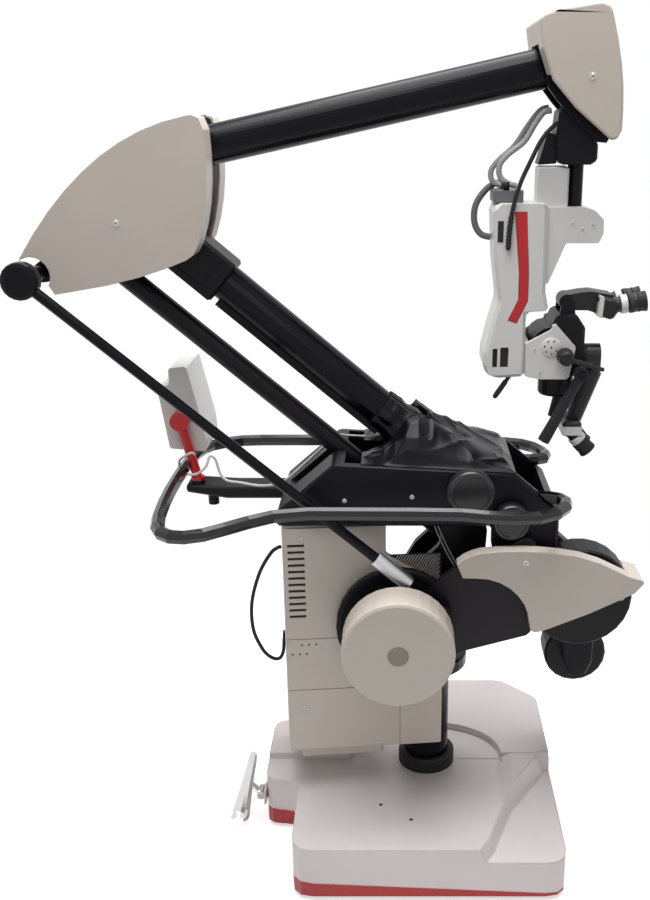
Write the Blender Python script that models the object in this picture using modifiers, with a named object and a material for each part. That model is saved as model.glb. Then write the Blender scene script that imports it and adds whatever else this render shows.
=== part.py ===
"""Surgical microscope on a floor stand: base, swivelling chassis, balanced parallelogram arm and optics head.

Metres, +Z up, +X along the arm towards the optics, -Y towards the viewer.
Every position below is measured from the column's axis on the floor.
"""
import math

import bmesh
import bpy
from mathutils import Matrix, Vector

# Whole object
COLUMN_X = 0.2004
COLUMN_Y = 0.0103
GAP = 0.0003

# Base, drawn over a floor that lies at FLOOR
FLOOR = 0.033
BASE_HALF_WIDTH = 0.315
BASE_FRONT = -0.352
BASE_REAR = 0.356
BASE_REAR_CHAMFER = 0.095
BASE_TONGUE_END = -0.402
BASE_TONGUE_NEAR = -0.095
BASE_TONGUE_FAR = 0.150
BASE_CORNER = 0.050
BASE_LEDGE_TOP = 0.137
BASE_FRONT_TOP = 0.173
BASE_REAR_TOP = 0.190
BASE_SPLIT_Y = -0.005
BASE_WALL = 0.008
SKIRT_BOTTOM = FLOOR + 0.012
SKIRT_TOP_LEFT = 0.090
SKIRT_TOP_RIGHT = 0.049
RECESS_HALF_WIDTH = 0.190
RECESS_HALF_DEPTH = 0.138
FRAME_BOTTOM = 0.098
FRAME_TOP = 0.114
BALLAST_BOTTOM = FLOOR + 0.020
BALLAST_HALF = (0.150, 0.200)

# Castors
CASTOR_X = BASE_HALF_WIDTH - 0.085
CASTOR_FRONT_Y = BASE_FRONT + 0.080
CASTOR_REAR_Y = BASE_REAR - 0.089
WHEEL_RADIUS = 0.0245
WHEEL_WIDTH = 0.026
CASTOR_TRAIL = 0.018
FORK_THICKNESS = 0.004

# Column
POST_RADIUS = 0.054
POST_TOP = 0.455
JOURNAL_RADIUS = 0.040
JOURNAL_TOP = 0.560
FLANGE_RADIUS = 0.097
FLANGE_HEIGHT = 0.034
COLLAR_RADIUS = 0.070
COLLAR_HEIGHT = 0.036
HEAD_SLEEVE_TOP = 0.690
CHEEK_INNER = 0.060
CHEEK_THICKNESS = 0.022

# Arm system, all pivots turn about lines along Y
BOOM_PIVOT = (0.213, 0.8265)
BOOM_LENGTH = 1.138
BOOM_ANGLE = math.radians(40.5)
TAIL_OFFSET = (-0.185, -0.143)
LINK_OFFSET = (-0.1237, -0.0679)
ARM_LENGTH = 0.9825
ARM_ANGLE = math.radians(12.3)
TUBE_RISE = 0.075
BOOM_RADIUS = 0.041
ARM_RADIUS = 0.0415
TUBE_WALL = 0.005
LINK_RADIUS = 0.024
ROD_RADIUS = 0.0115
SHAFT_RADIUS = 0.016
ELBOW_PIN_RADIUS = 0.014
LINK_PIN_RADIUS = 0.009
TAIL_JOURNAL_RADIUS = 0.010
ROD_PIN_RADIUS = 0.0115
RUNNING = 0.0006

# Depths across the arm plane
SHELL_OUTER = 0.120
SHELL_INNER = 0.045
SHELL_WALL = 0.005
LEVER_NEAR = -0.165
LEVER_FAR = -0.147
ROD_PLANE = -0.182
DRUM_FAR = -0.1425
CAP_NEAR = -0.300
CAP_FAR = -0.212
WING_NEAR = -0.200
WING_FAR = -0.100
LEVER_SWEEP = 0.230

# Counterweights
DISC_CENTRE = (-0.071, 0.631)
DRUM_RADIUS = 0.142
CAP_RADIUS = 0.125
PLUG_RADIUS = 0.022
WEIGHT_CENTRE = (0.354, 0.668)
WEIGHT_RADIUS = 0.1216
WEIGHT_NEAR = -0.095
WEIGHT_FAR = -0.015
DRUM2_CENTRE = (0.372, 0.456)
DRUM2_RADIUS = 0.077
DRUM2_DEPTH = 0.080

# Chassis
CHASSIS_HALF = 0.140
CHASSIS_SLOT = 0.122
CHASSIS_BOTTOM = 0.868
CHASSIS_YAW = math.radians(5.7)
BOOT_HALF = 0.134
RAIL_HEIGHT = 0.935
RAIL_RADIUS = 0.015
KNOB_CENTRES = ((0.088, 0.957), (0.179, 0.889))
KNOB_RADII = (0.052, 0.041)
KNOB_DEPTH = 0.030

# Cabinet
CABINET_LEFT = -0.345
CABINET_STEP = -0.110
CABINET_RIGHT = 0.024
CABINET_NEAR = -0.102
CABINET_FAR = 0.125
CABINET_RIGHT_FAR = -0.087
CABINET_BOTTOM = 0.285
CABINET_TOP = 0.8672
CABINET_RIGHT_TOP = 0.690
PANEL_THICKNESS = 0.004
CABINET_WALL = 0.005
CABLE_RADIUS = 0.0042
GROOVE = 0.002
TRAY_BOTTOM = 0.255

# Monitor
MONITOR_POST = (-0.551, 0.056)
MONITOR_TILT = (-0.585, 1.057)
MONITOR_NEAR = 0.073
MONITOR_FAR = 0.235

# Optics head
POST2_RADIUS = 0.017
CARRIER_HALF = 0.060
LATERAL_AXIS_Z = 1.225
SCOPE_PIVOT = (0.262, 1.262)
FORK_INNER = 0.064
FORK_OUTER = 0.074
SCOPE_HALF = 0.058
OBJECTIVE_CENTRE = 0.272
OBJECTIVE_RADIUS = 0.040
BINO_PIVOT = (0.300, 1.352)
ASSIST_AXIS = (-0.030, 1.235)
GRIP_PIVOT = (0.328, 1.205)
KNOB_PIVOT = (0.292, 1.244)


def clear_scene():
    for old in list(bpy.data.objects):
        bpy.data.objects.remove(old, do_unlink=True)


clear_scene()
PARTS = bpy.data.collections.new("surgical_microscope")
WORK = bpy.data.collections.new("cutters")
bpy.context.scene.collection.children.link(PARTS)
bpy.context.scene.collection.children.link(WORK)


# Shapes: each function returns one closed mesh object standing in the model's own frame

def work_object(data):
    solid = bpy.data.objects.new("blank", data)
    WORK.objects.link(solid)
    return solid


def settled(solid):
    """The evaluated shape as one plain mesh object with its place baked in."""
    bpy.context.view_layer.update()
    graph = bpy.context.evaluated_depsgraph_get()
    mesh = bpy.data.meshes.new_from_object(solid.evaluated_get(graph))
    mesh.transform(solid.matrix_world)
    if solid.matrix_world.determinant() < 0.0:
        mesh.flip_normals()
    bpy.data.objects.remove(solid)
    form = bmesh.new()
    form.from_mesh(mesh)
    bmesh.ops.remove_doubles(form, verts=form.verts, dist=0.000001)
    form.to_mesh(mesh)
    form.free()
    return work_object(mesh)


def box(low, high):
    form = bmesh.new()
    bmesh.ops.create_cube(form, size=1.0)
    low = Vector(low)
    high = Vector(high)
    size = high - low
    matrix = Matrix.Translation((low + high) / 2) @ Matrix.Diagonal((size.x, size.y, size.z, 1.0))
    bmesh.ops.transform(form, matrix=matrix, verts=form.verts)
    mesh = bpy.data.meshes.new("box")
    form.to_mesh(mesh)
    form.free()
    return work_object(mesh)


def cylinder(start, end, radius, sides=20, end_radius=None):
    start = Vector(start)
    end = Vector(end)
    line = end - start
    form = bmesh.new()
    bmesh.ops.create_cone(form, cap_ends=True, segments=sides, radius1=radius,
                          radius2=radius if end_radius is None else end_radius, depth=line.length)
    matrix = Matrix.Translation((start + end) / 2) @ line.to_track_quat("Z", "Y").to_matrix().to_4x4()
    bmesh.ops.transform(form, matrix=matrix, verts=form.verts)
    mesh = bpy.data.meshes.new("cylinder")
    form.to_mesh(mesh)
    form.free()
    return work_object(mesh)


def pin(centre, near, far, radius, sides=14):
    """A cylinder along Y round an (x, z) centre."""
    return cylinder((centre[0], near, centre[1]), (centre[0], far, centre[1]), radius, sides)


def outline_curve(points, half):
    curve = bpy.data.curves.new("outline", "CURVE")
    curve.dimensions = "2D"
    curve.fill_mode = "BOTH"
    curve.extrude = half
    spline = curve.splines.new("POLY")
    spline.points.add(len(points) - 1)
    for spot, point in zip(spline.points, points):
        spot.co = (point[0], point[1], 0.0, 1.0)
    spline.use_cyclic_u = True
    return bpy.data.objects.new("outline", curve)


def slab(points, near, far):
    """A flat outline in the XZ plane, given thickness along Y."""
    solid = outline_curve(points, abs(far - near) / 2)
    WORK.objects.link(solid)
    solid.rotation_euler = (math.pi / 2, 0.0, 0.0)
    solid.location = (0.0, (near + far) / 2, 0.0)
    return settled(solid)


def plan(points, bottom, top):
    """A flat outline in the XY plane, given height along Z."""
    solid = outline_curve(points, (top - bottom) / 2)
    WORK.objects.link(solid)
    solid.location = (0.0, 0.0, (bottom + top) / 2)
    return settled(solid)


def loft(lower, upper, bottom, top):
    """A solid between two outlines with as many points each."""
    mesh = bpy.data.meshes.new("loft")
    count = len(lower)
    points = [(x, y, bottom) for x, y in lower] + [(x, y, top) for x, y in upper]
    faces = [tuple(reversed(range(count))), tuple(range(count, 2 * count))]
    for i in range(count):
        k = (i + 1) % count
        faces.append((i, k, k + count, i + count))
    mesh.from_pydata(points, [], faces)
    shape = bmesh.new()
    shape.from_mesh(mesh)
    bmesh.ops.recalc_face_normals(shape, faces=shape.faces)
    shape.to_mesh(mesh)
    shape.free()
    return work_object(mesh)


def turned(profile, centre, axis, steps=20):
    """A profile of (radius, height) pairs, from the top of its outer side to the bottom, turned."""
    mesh = bpy.data.meshes.new("profile")
    edges = [(i, i + 1) for i in range(len(profile) - 1)]
    mesh.from_pydata([(r, 0.0, h) for r, h in profile], edges, [])
    solid = work_object(mesh)
    screw = solid.modifiers.new("turn", "SCREW")
    screw.steps = steps
    screw.render_steps = steps
    screw.use_merge_vertices = True
    screw.merge_threshold = 0.00005
    solid.rotation_mode = "QUATERNION"
    solid.rotation_quaternion = Vector(axis).to_track_quat("Z", "Y")
    solid.location = centre
    return settled(solid)


def smooth_route(points, count):
    """Evenly spread points on a smooth curve through the route's own points."""
    knots = [Vector(p) for p in points]
    knots = [2 * knots[0] - knots[1]] + knots + [2 * knots[-1] - knots[-2]]
    spans = len(knots) - 3
    route = []
    for step in range(count):
        place = step * spans / (count - 1)
        span = min(int(place), spans - 1)
        t = place - span
        a, b, c, d = knots[span:span + 4]
        route.append(0.5 * (2 * b + (c - a) * t + (2 * a - 5 * b + 4 * c - d) * t ** 2
                            + (3 * b - a - 3 * c + d) * t ** 3))
    return route


def tube(points, radius, resolution=2, cyclic=False):
    curve = bpy.data.curves.new("tube", "CURVE")
    curve.dimensions = "3D"
    curve.bevel_depth = radius
    curve.bevel_resolution = resolution
    curve.use_fill_caps = not cyclic
    spline = curve.splines.new("POLY")
    spline.points.add(len(points) - 1)
    for spot, point in zip(spline.points, points):
        spot.co = (*point, 1.0)
    spline.use_cyclic_u = cyclic
    solid = bpy.data.objects.new("tube", curve)
    WORK.objects.link(solid)
    return settled(solid)


def combined(first, others, operation):
    for index, other in enumerate(others):
        step = first.modifiers.new("step", "BOOLEAN")
        step.operation = operation
        step.solver = "EXACT"
        step.object = other
    result = settled(first)
    for other in others:
        bpy.data.objects.remove(other)
    return result


def union(first, *others):
    return combined(first, others, "UNION")


def cut(first, *others):
    return combined(first, others, "DIFFERENCE")


def common(first, *others):
    return combined(first, others, "INTERSECT")


def softened(solid, width, segments=1, angle=35.0):
    bevel = solid.modifiers.new("edges", "BEVEL")
    bevel.width = width
    bevel.segments = segments
    bevel.limit_method = "ANGLE"
    bevel.angle_limit = math.radians(angle)
    bevel.harden_normals = False
    return settled(solid)


def turned_about(solid, centre, axis, angle):
    """The solid turned by an angle round a line through the centre."""
    solid.data.transform(Matrix.Translation(centre) @ Matrix.Rotation(angle, 4, axis)
                         @ Matrix.Translation(-Vector(centre)))
    return solid


# Outlines

def circle_points(centre, radius, count=24, start=0.0, end=360.0, closed=False):
    steps = count - 1 if closed else count
    spots = []
    for i in range(count):
        angle = math.radians(start + (end - start) * i / steps)
        spots.append((centre[0] + radius * math.cos(angle), centre[1] + radius * math.sin(angle)))
    return spots


def bent(start, middle, end, count):
    """Points on an even curve from start to end that passes through the middle point."""
    spots = []
    for i in range(count):
        t = i / (count - 1)
        a = (1 - t) * (1 - 2 * t)
        b = 4 * t * (1 - t)
        c = t * (2 * t - 1)
        spots.append((a * start[0] + b * middle[0] + c * end[0], a * start[1] + b * middle[1] + c * end[1]))
    return spots


def rounded_corners(points, radius, steps=4):
    """The outline with each corner replaced by an arc, smaller where the sides are short."""
    spots = []
    count = len(points)
    for i, corner in enumerate(points):
        here = Vector(corner)
        before = Vector(points[i - 1]) - here
        after = Vector(points[(i + 1) % count]) - here
        angle = before.angle(after)
        reach = min(radius / math.tan(angle / 2), before.length * 0.45, after.length * 0.45)
        first = here + before.normalized() * reach
        last = here + after.normalized() * reach
        for k in range(steps + 1):
            t = k / steps
            spots.append(tuple((1 - t) ** 2 * first + 2 * t * (1 - t) * here + t ** 2 * last))
    return spots


def offset_outline(points, distance):
    """The outline moved inward by a distance, whichever way round it runs."""
    count = len(points)
    area = sum(points[i - 1][0] * points[i][1] - points[i][0] * points[i - 1][1] for i in range(count))
    side = 1.0 if area > 0 else -1.0
    spots = []
    for i in range(count):
        here = Vector(points[i])
        back = (here - Vector(points[i - 1])).normalized()
        ahead = (Vector(points[(i + 1) % count]) - here).normalized()
        normal_back = Vector((-back.y, back.x)) * side
        normal_ahead = Vector((-ahead.y, ahead.x)) * side
        middle = (normal_back + normal_ahead).normalized()
        spots.append(tuple(here + middle * distance / max(0.5, middle.dot(normal_ahead))))
    return spots


def capsule(a, b, radius_a, radius_b, count=6):
    """The outline round two circles joined by straight sides."""
    direction = math.degrees(math.atan2(b[1] - a[1], b[0] - a[0]))
    return (circle_points(b, radius_b, count, direction - 90, direction + 90, closed=True)
            + circle_points(a, radius_a, count, direction + 90, direction + 270, closed=True))


# Points of the arm system in the XZ plane

def along(start, angle, distance, rise=0.0):
    """A point reached from start along an angle, then square to it by the rise."""
    return (start[0] + distance * math.cos(angle) - rise * math.sin(angle),
            start[1] + distance * math.sin(angle) + rise * math.cos(angle))


def moved(point, offset):
    return (point[0] + offset[0], point[1] + offset[1])


BOOM_RUN = math.pi - BOOM_ANGLE
ELBOW = along(BOOM_PIVOT, BOOM_RUN, BOOM_LENGTH)
TAIL = moved(ELBOW, TAIL_OFFSET)
ROD_END = moved(BOOM_PIVOT, TAIL_OFFSET)
LINK_LOW = moved(BOOM_PIVOT, LINK_OFFSET)
LINK_HIGH = moved(ELBOW, LINK_OFFSET)
HEAD = along(ELBOW, ARM_ANGLE, ARM_LENGTH)

# The elbow covers and the head's pieces are drawn round these points and moved with their pivots
ELBOW_DRAWN = (-0.65234, 1.56557)
HEAD_DRAWN = (0.30761, 1.77487)
ELBOW_SHIFT = (ELBOW[0] - ELBOW_DRAWN[0], ELBOW[1] - ELBOW_DRAWN[1])
HEAD_SHIFT = (HEAD[0] - HEAD_DRAWN[0], HEAD[1] - HEAD_DRAWN[1])
HEAD_BODIES = ("head", "carrier", "fork", "knob_3", "scope", "bino", "assist", "grip_near", "grip_far")


def at(point, y):
    return Vector((point[0], y, point[1]))


# Bodies: an empty stands on each joint's axis and carries that body's pieces

BODY = {}


def add_body(name, parent, pivot):
    empty = bpy.data.objects.new("axis_" + name, None)
    empty.empty_display_size = 0.05
    PARTS.objects.link(empty)
    pivot = Vector(pivot)
    if parent is None:
        empty.location = (COLUMN_X, COLUMN_Y, -FLOOR)
    else:
        empty.parent = BODY[parent][0]
        empty.location = pivot - BODY[parent][1]
    BODY[name] = (empty, pivot)


def add_bodies():
    add_body("base", None, (0.0, 0.0, 0.0))
    for name, x, y in castor_places():
        add_body("castor_" + name, "base", (x, y, 0.0))
        add_body("wheel_" + name, "castor_" + name, (x - CASTOR_TRAIL, y, FLOOR + WHEEL_RADIUS))
    add_body("pedal", "base", (PEDAL_X, 0.0, PEDAL_Z))
    add_body("chassis", "base", (0.0, 0.0, 0.0))
    for number, centre in enumerate(KNOB_CENTRES, 1):
        add_body("knob_%d" % number, "chassis", at(centre, 0.0))
    add_body("monitor_yoke", "chassis", (MONITOR_POST[0], MONITOR_POST[1], 0.0))
    add_body("monitor", "monitor_yoke", at(MONITOR_TILT, MONITOR_POST[1]))
    add_body("boom", "chassis", at(BOOM_PIVOT, 0.0))
    add_body("link", "chassis", at(LINK_LOW, 0.0))
    add_body("lever", "chassis", at(BOOM_PIVOT, 0.0))
    add_body("elbow", "boom", at(ELBOW, 0.0))
    add_body("arm", "elbow", at(ELBOW, 0.0))
    add_body("rod_eye", "arm", at(TAIL, 0.0))
    add_body("rod", "rod_eye", at(TAIL, 0.0))
    add_body("head", "arm", at(HEAD, 0.0))
    add_body("carrier", "head", (HEAD[0], 0.0, 0.0))
    add_body("fork", "carrier", (0.0, 0.0, LATERAL_AXIS_Z + HEAD_SHIFT[1]))
    add_body("knob_3", "fork", at(moved(KNOB_PIVOT, HEAD_SHIFT), 0.0))
    add_body("scope", "fork", at(moved(SCOPE_PIVOT, HEAD_SHIFT), 0.0))
    add_body("bino", "scope", at(moved(BINO_PIVOT, HEAD_SHIFT), 0.0))
    add_body("assist", "scope", (0.0, ASSIST_AXIS[0], ASSIST_AXIS[1] + HEAD_SHIFT[1]))
    add_body("grip_near", "scope", at(moved(GRIP_PIVOT, HEAD_SHIFT), 0.0))
    add_body("grip_far", "scope", at(moved(GRIP_PIVOT, HEAD_SHIFT), 0.0))


# Finishes: base colour, roughness, metallic

FINISHES = {
    "ivory": ((0.70, 0.64, 0.56), 0.45, 0.0),
    "white": ((0.82, 0.80, 0.78), 0.40, 0.0),
    "red": ((0.45, 0.03, 0.03), 0.40, 0.0),
    "gloss_black": ((0.008, 0.008, 0.014), 0.15, 0.0),
    "satin_black": ((0.015, 0.014, 0.018), 0.45, 0.0),
    "rubber": ((0.02, 0.02, 0.022), 0.75, 0.0),
    "vinyl": ((0.012, 0.012, 0.014), 0.35, 0.0),
    "cast_iron": ((0.06, 0.06, 0.065), 0.60, 0.6),
    "chrome": ((0.75, 0.75, 0.76), 0.12, 1.0),
    "aluminium": ((0.60, 0.60, 0.61), 0.35, 1.0),
    "grey": ((0.35, 0.35, 0.37), 0.45, 0.0),
    "glass": ((0.75, 0.80, 0.85), 0.03, 0.0),
}


def finish_material(name):
    material = bpy.data.materials.get(name)
    if material is None:
        material = bpy.data.materials.new(name)
        material.use_nodes = True
        shader = material.node_tree.nodes["Principled BSDF"]
        colour, roughness, metallic = FINISHES[name]
        shader.inputs["Base Color"].default_value = (*colour, 1.0)
        shader.inputs["Roughness"].default_value = roughness
        shader.inputs["Metallic"].default_value = metallic
    return material


def shifted(solid, shift):
    solid.data.transform(Matrix.Translation((shift[0], 0.0, shift[1])))
    return solid


def place(name, solid, body, finish):
    """Names a finished solid, gives it its finish and hangs it on its body."""
    empty, pivot = BODY[body]
    if body in HEAD_BODIES:
        shifted(solid, HEAD_SHIFT)
    solid.data.transform(Matrix.Translation(-pivot))
    solid.name = name
    solid.data.name = name
    solid.parent = empty
    WORK.objects.unlink(solid)
    PARTS.objects.link(solid)
    solid.data.materials.clear()
    solid.data.materials.append(finish_material(finish))
    solid.data.shade_smooth()
    solid.data.set_sharp_from_angle(angle=math.radians(32.0))
    return solid


# Base

def base_outline(inset=0.0):
    side = BASE_HALF_WIDTH
    cut_off = BASE_REAR_CHAMFER
    corners = [(-side, BASE_FRONT), (side, BASE_FRONT), (side, BASE_REAR - cut_off), (side - cut_off, BASE_REAR),
               (cut_off - side, BASE_REAR), (-side, BASE_REAR - cut_off),
               (-side, BASE_TONGUE_FAR), (BASE_TONGUE_END, BASE_TONGUE_FAR),
               (BASE_TONGUE_END, BASE_TONGUE_NEAR), (-side, BASE_TONGUE_NEAR)]
    if inset:
        corners = offset_outline(corners, inset)
    return rounded_corners(corners, BASE_CORNER - inset * 0.4, 3)


def skirt_wedge(lift):
    """A long wedge whose top falls from left to right, under the cover's lower edge."""
    left = BASE_TONGUE_END - 0.05
    right = BASE_HALF_WIDTH + 0.05
    return slab([(left, -0.1), (right, -0.1), (right, SKIRT_TOP_RIGHT + lift), (left, SKIRT_TOP_LEFT + lift)],
                BASE_FRONT - 0.05, BASE_REAR + 0.05)


def ledge_outline(back):
    """The low ledge on the front right, whose slanting edge steps back as it rises."""
    edge = [(0.128, BASE_FRONT), (0.150, -0.315), (0.168, -0.262), (0.200, -0.175), (0.243, -0.110),
            (0.292, -0.028), (0.302, BASE_SPLIT_Y)]
    edge = [(x - back, y + back * 0.4) for x, y in edge]
    return [(edge[0][0], -0.6)] + edge + [(0.6, edge[-1][1]), (0.6, -0.6)]


def make_base():
    low = softened(plan(base_outline(), SKIRT_BOTTOM, BASE_FRONT_TOP), 0.014, 2, 60)
    high = softened(plan(base_outline(0.0015), BASE_LEDGE_TOP, BASE_REAR_TOP), 0.014, 2, 60)
    dip = slab([(-0.6, BASE_FRONT_TOP - 0.02), (0.175, BASE_FRONT_TOP - 0.02), (0.175, BASE_FRONT_TOP - 0.001),
                (0.215, BASE_REAR_TOP + 0.002), (0.215, 0.3), (-0.6, 0.3)], -0.6, BASE_SPLIT_Y)
    ledge = loft(ledge_outline(0.0), ledge_outline(0.018), BASE_LEDGE_TOP, BASE_REAR_TOP + 0.001)
    deep = plan([(0.0, -0.6), (0.6, -0.6), (0.6, BASE_SPLIT_Y), (0.0, BASE_SPLIT_Y)], BASE_REAR_TOP, 0.3)
    cover = cut(union(low, cut(high, dip)), ledge, deep)
    hollow = plan(base_outline(BASE_WALL), -0.1, BASE_LEDGE_TOP - BASE_WALL - 0.012)
    room = [(-0.280, -0.315), (0.090, -0.315), (0.120, -0.240), (0.150, -0.160), (0.195, -0.095), (0.250, -0.015),
            (0.250, 0.170), (0.180, 0.260), (0.100, 0.310), (-0.100, 0.310), (-0.280, 0.200)]
    upper_hollow = plan(room, 0.0, BASE_FRONT_TOP - BASE_WALL)
    oval = [(x * RECESS_HALF_WIDTH, y * RECESS_HALF_DEPTH) for x, y in
            circle_points((0.0, 0.0), 1.0, 20, 0, 180, closed=True)]
    recess = plan(oval + [(-RECESS_HALF_WIDTH, -0.030), (RECESS_HALF_WIDTH, -0.030)], BASE_FRONT_TOP, 0.3)
    bore = cylinder((0, 0, 0), (0, 0, 0.3), POST_RADIUS + 0.004, 24)
    seam = box((0.197, BASE_SPLIT_Y - 0.001, BASE_REAR_TOP - 0.0015), (0.297, BASE_SPLIT_Y + 0.001, 0.3))
    inner_seam = box((0.080, BASE_SPLIT_Y - 0.001, BASE_FRONT_TOP - 0.0015),
                     (RECESS_HALF_WIDTH - 0.004, BASE_SPLIT_Y + 0.001, BASE_FRONT_TOP + 0.003))
    cover = cut(cover, recess, bore, hollow, upper_hollow, seam, inner_seam, skirt_wedge(GAP))
    place("base_cover", cover, "base", "white")
    ring = plan(base_outline(), SKIRT_BOTTOM, SKIRT_TOP_LEFT + 0.02)
    inner = plan(base_outline(BASE_WALL), -0.1, 0.3)
    ring = common(cut(ring, inner), skirt_wedge(0.0))
    place("base_skirt", ring, "base", "red")


def make_frame():
    plate = plan(base_outline(BASE_WALL + GAP * 4), FRAME_BOTTOM, FRAME_TOP)
    half_x, half_y = BALLAST_HALF
    ballast = box((-half_x, -half_y, BALLAST_BOTTOM), (half_x, half_y, FRAME_BOTTOM + 0.01))
    ballast = softened(ballast, 0.008, 1)
    place("ballast_frame", union(plate, ballast), "base", "cast_iron")


def castor_places():
    places = []
    for name, x, y in (("front_left", -1, CASTOR_FRONT_Y), ("front_right", 1, CASTOR_FRONT_Y),
                       ("rear_left", -1, CASTOR_REAR_Y), ("rear_right", 1, CASTOR_REAR_Y)):
        places.append((name, x * CASTOR_X, y))
    return places


def make_castors():
    axle_z = FLOOR + WHEEL_RADIUS
    for name, x, y in castor_places():
        axle_x = x - CASTOR_TRAIL
        top = FRAME_BOTTOM - GAP
        crown = turned([(0.0, top), (0.022, top), (0.022, top - 0.008), (0.0, top - 0.008)],
                       (x, y, 0.0), (0, 0, 1), 14)
        half = WHEEL_WIDTH / 2 + 0.0015
        bridge = box((axle_x - 0.012, y - half - FORK_THICKNESS, top - 0.014),
                     (x + 0.016, y + half + FORK_THICKNESS, top - 0.007))
        legs = []
        for side in (-1, 1):
            near = y + side * half
            far = y + side * (half + FORK_THICKNESS)
            shape = capsule((axle_x, axle_z), (axle_x + 0.006, top - 0.013), 0.009, 0.0125, 4)
            legs.append(slab(shape, min(near, far), max(near, far)))
        axle = pin((axle_x, axle_z), y - half - 0.001, y + half + 0.001, 0.004, 8)
        place("castor_fork_" + name, union(crown, bridge, legs[0], legs[1], axle), "castor_" + name, "grey")
        r = WHEEL_RADIUS
        w = WHEEL_WIDTH / 2
        profile = [(0.0046, w), (r - 0.005, w), (r, w - 0.005), (r, 0.005 - w), (r - 0.005, -w), (0.0046, -w),
                   (0.0046, w)]
        wheel = turned(profile, (axle_x, y, axle_z), (0, -1, 0), 18)
        place("castor_wheel_" + name, wheel, "wheel_" + name, "rubber")


# Foot-brake pedal
PEDAL_X = -0.418
PEDAL_Z = 0.118
PEDAL_Y = -0.065
PEDAL_BAR_X = -0.450
PEDAL_BAR_Z = 0.150


def make_pedal():
    wall = BASE_TONGUE_END - GAP
    plate = box((wall - 0.005, PEDAL_Y - 0.022, PEDAL_Z - 0.022), (wall, PEDAL_Y + 0.022, PEDAL_Z + 0.014))
    ears = []
    for side in (-1, 1):
        middle = PEDAL_Y + side * 0.0175
        shape = capsule((wall - 0.0085, PEDAL_Z), (PEDAL_X, PEDAL_Z), 0.008, 0.008, 4)
        ears.append(slab(shape, middle - 0.003, middle + 0.003))
    rod = pin((PEDAL_X, PEDAL_Z), PEDAL_Y - 0.022, PEDAL_Y + 0.022, 0.0035, 10)
    place("pedal_bracket", union(plate, ears[0], ears[1], rod), "base", "grey")
    hub = pin((PEDAL_X, PEDAL_Z), PEDAL_Y - 0.0138, PEDAL_Y + 0.0138, 0.0085, 12)
    stub = cylinder((PEDAL_X - 0.004, PEDAL_Y, PEDAL_Z), (PEDAL_BAR_X, PEDAL_Y, PEDAL_BAR_Z), 0.008, 10)
    profile = [(0.0, 0.053), (0.006, 0.052), (0.0105, 0.046), (0.012, 0.034), (0.0135, -0.02),
               (0.017, -0.10), (0.0215, -0.17), (0.0235, -0.20), (0.0215, -0.216), (0.013, -0.225), (0.0, -0.227)]
    bar = turned(profile, (PEDAL_BAR_X, 0.0, PEDAL_BAR_Z), (0, 1, 0), 14)
    bore = pin((PEDAL_X, PEDAL_Z), PEDAL_Y - 0.03, PEDAL_Y + 0.03, 0.0035 + RUNNING, 10)
    place("brake_pedal", cut(union(bar, stub, hub), bore), "pedal", "chrome")


# Column

def make_column():
    foot = FRAME_TOP + GAP
    profile = [(0.0, JOURNAL_TOP), (JOURNAL_RADIUS, JOURNAL_TOP), (JOURNAL_RADIUS, POST_TOP + FLANGE_HEIGHT),
               (FLANGE_RADIUS - 0.004, POST_TOP + FLANGE_HEIGHT), (FLANGE_RADIUS, POST_TOP + FLANGE_HEIGHT - 0.004),
               (FLANGE_RADIUS, POST_TOP + 0.004), (FLANGE_RADIUS - 0.004, POST_TOP),
               (POST_RADIUS, POST_TOP), (POST_RADIUS, foot), (0.0, foot)]
    place("column_post", turned(profile, (0, 0, 0), (0, 0, 1), 28), "base", "gloss_black")
    low = BASE_FRONT_TOP + GAP
    inner = POST_RADIUS + 4 * GAP
    profile = [(inner, low + COLLAR_HEIGHT), (COLLAR_RADIUS - 0.006, low + COLLAR_HEIGHT),
               (COLLAR_RADIUS, low + COLLAR_HEIGHT - 0.006), (COLLAR_RADIUS, low),
               (inner, low), (inner, low + COLLAR_HEIGHT)]
    place("column_collar", turned(profile, (0, 0, 0), (0, 0, 1), 24), "base", "rubber")


def make_column_head():
    seat = POST_TOP + FLANGE_HEIGHT + GAP
    profile = [(0.0, HEAD_SLEEVE_TOP), (POST_RADIUS, HEAD_SLEEVE_TOP), (POST_RADIUS + 0.004, seat + 0.03),
               (POST_RADIUS + 0.014, seat + 0.012), (POST_RADIUS + 0.014, seat), (JOURNAL_RADIUS + RUNNING, seat),
               (JOURNAL_RADIUS + RUNNING, JOURNAL_TOP + 0.002), (0.0, JOURNAL_TOP + 0.002)]
    sleeve = turned(profile, (0, 0, 0), (0, 0, 1), 24)
    top = CHASSIS_BOTTOM - GAP
    shape = rounded_corners([(-0.060, 0.600), (0.070, 0.600), (0.125, 0.700), (0.135, top), (0.030, top),
                             (0.026, 0.800), (-0.030, 0.745), (-0.062, 0.690)], 0.03, 2)
    cheeks = []
    for side in (-1, 1):
        inner = side * CHEEK_INNER
        outer = side * (CHEEK_INNER + CHEEK_THICKNESS)
        cheeks.append(slab(shape, min(inner, outer), max(inner, outer)))
    collar = cylinder((0, 0, 0.60), (0, 0, HEAD_SLEEVE_TOP - 0.012), CHEEK_INNER + 0.012, 24)
    cross = pin(LINK_LOW, -CHEEK_INNER - 0.004, CHEEK_INNER + 0.004, LINK_PIN_RADIUS)
    body = union(sleeve, collar, cheeks[0], cheeks[1], cross)
    place("column_head", body, "chassis", "satin_black")


# Chassis

def chassis_outline():
    x, z = BOOM_PIVOT
    lug = circle_points(BOOM_PIVOT, 0.075, 9, 0, -180, closed=True)
    return ([(-0.343, CHASSIS_BOTTOM), (-0.343, 0.901), (-0.214, 1.014), (0.032, 1.000), (0.190, 0.990),
             (x + 0.075, 0.906)] + lug + [(x - 0.075, CHASSIS_BOTTOM)])


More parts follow.
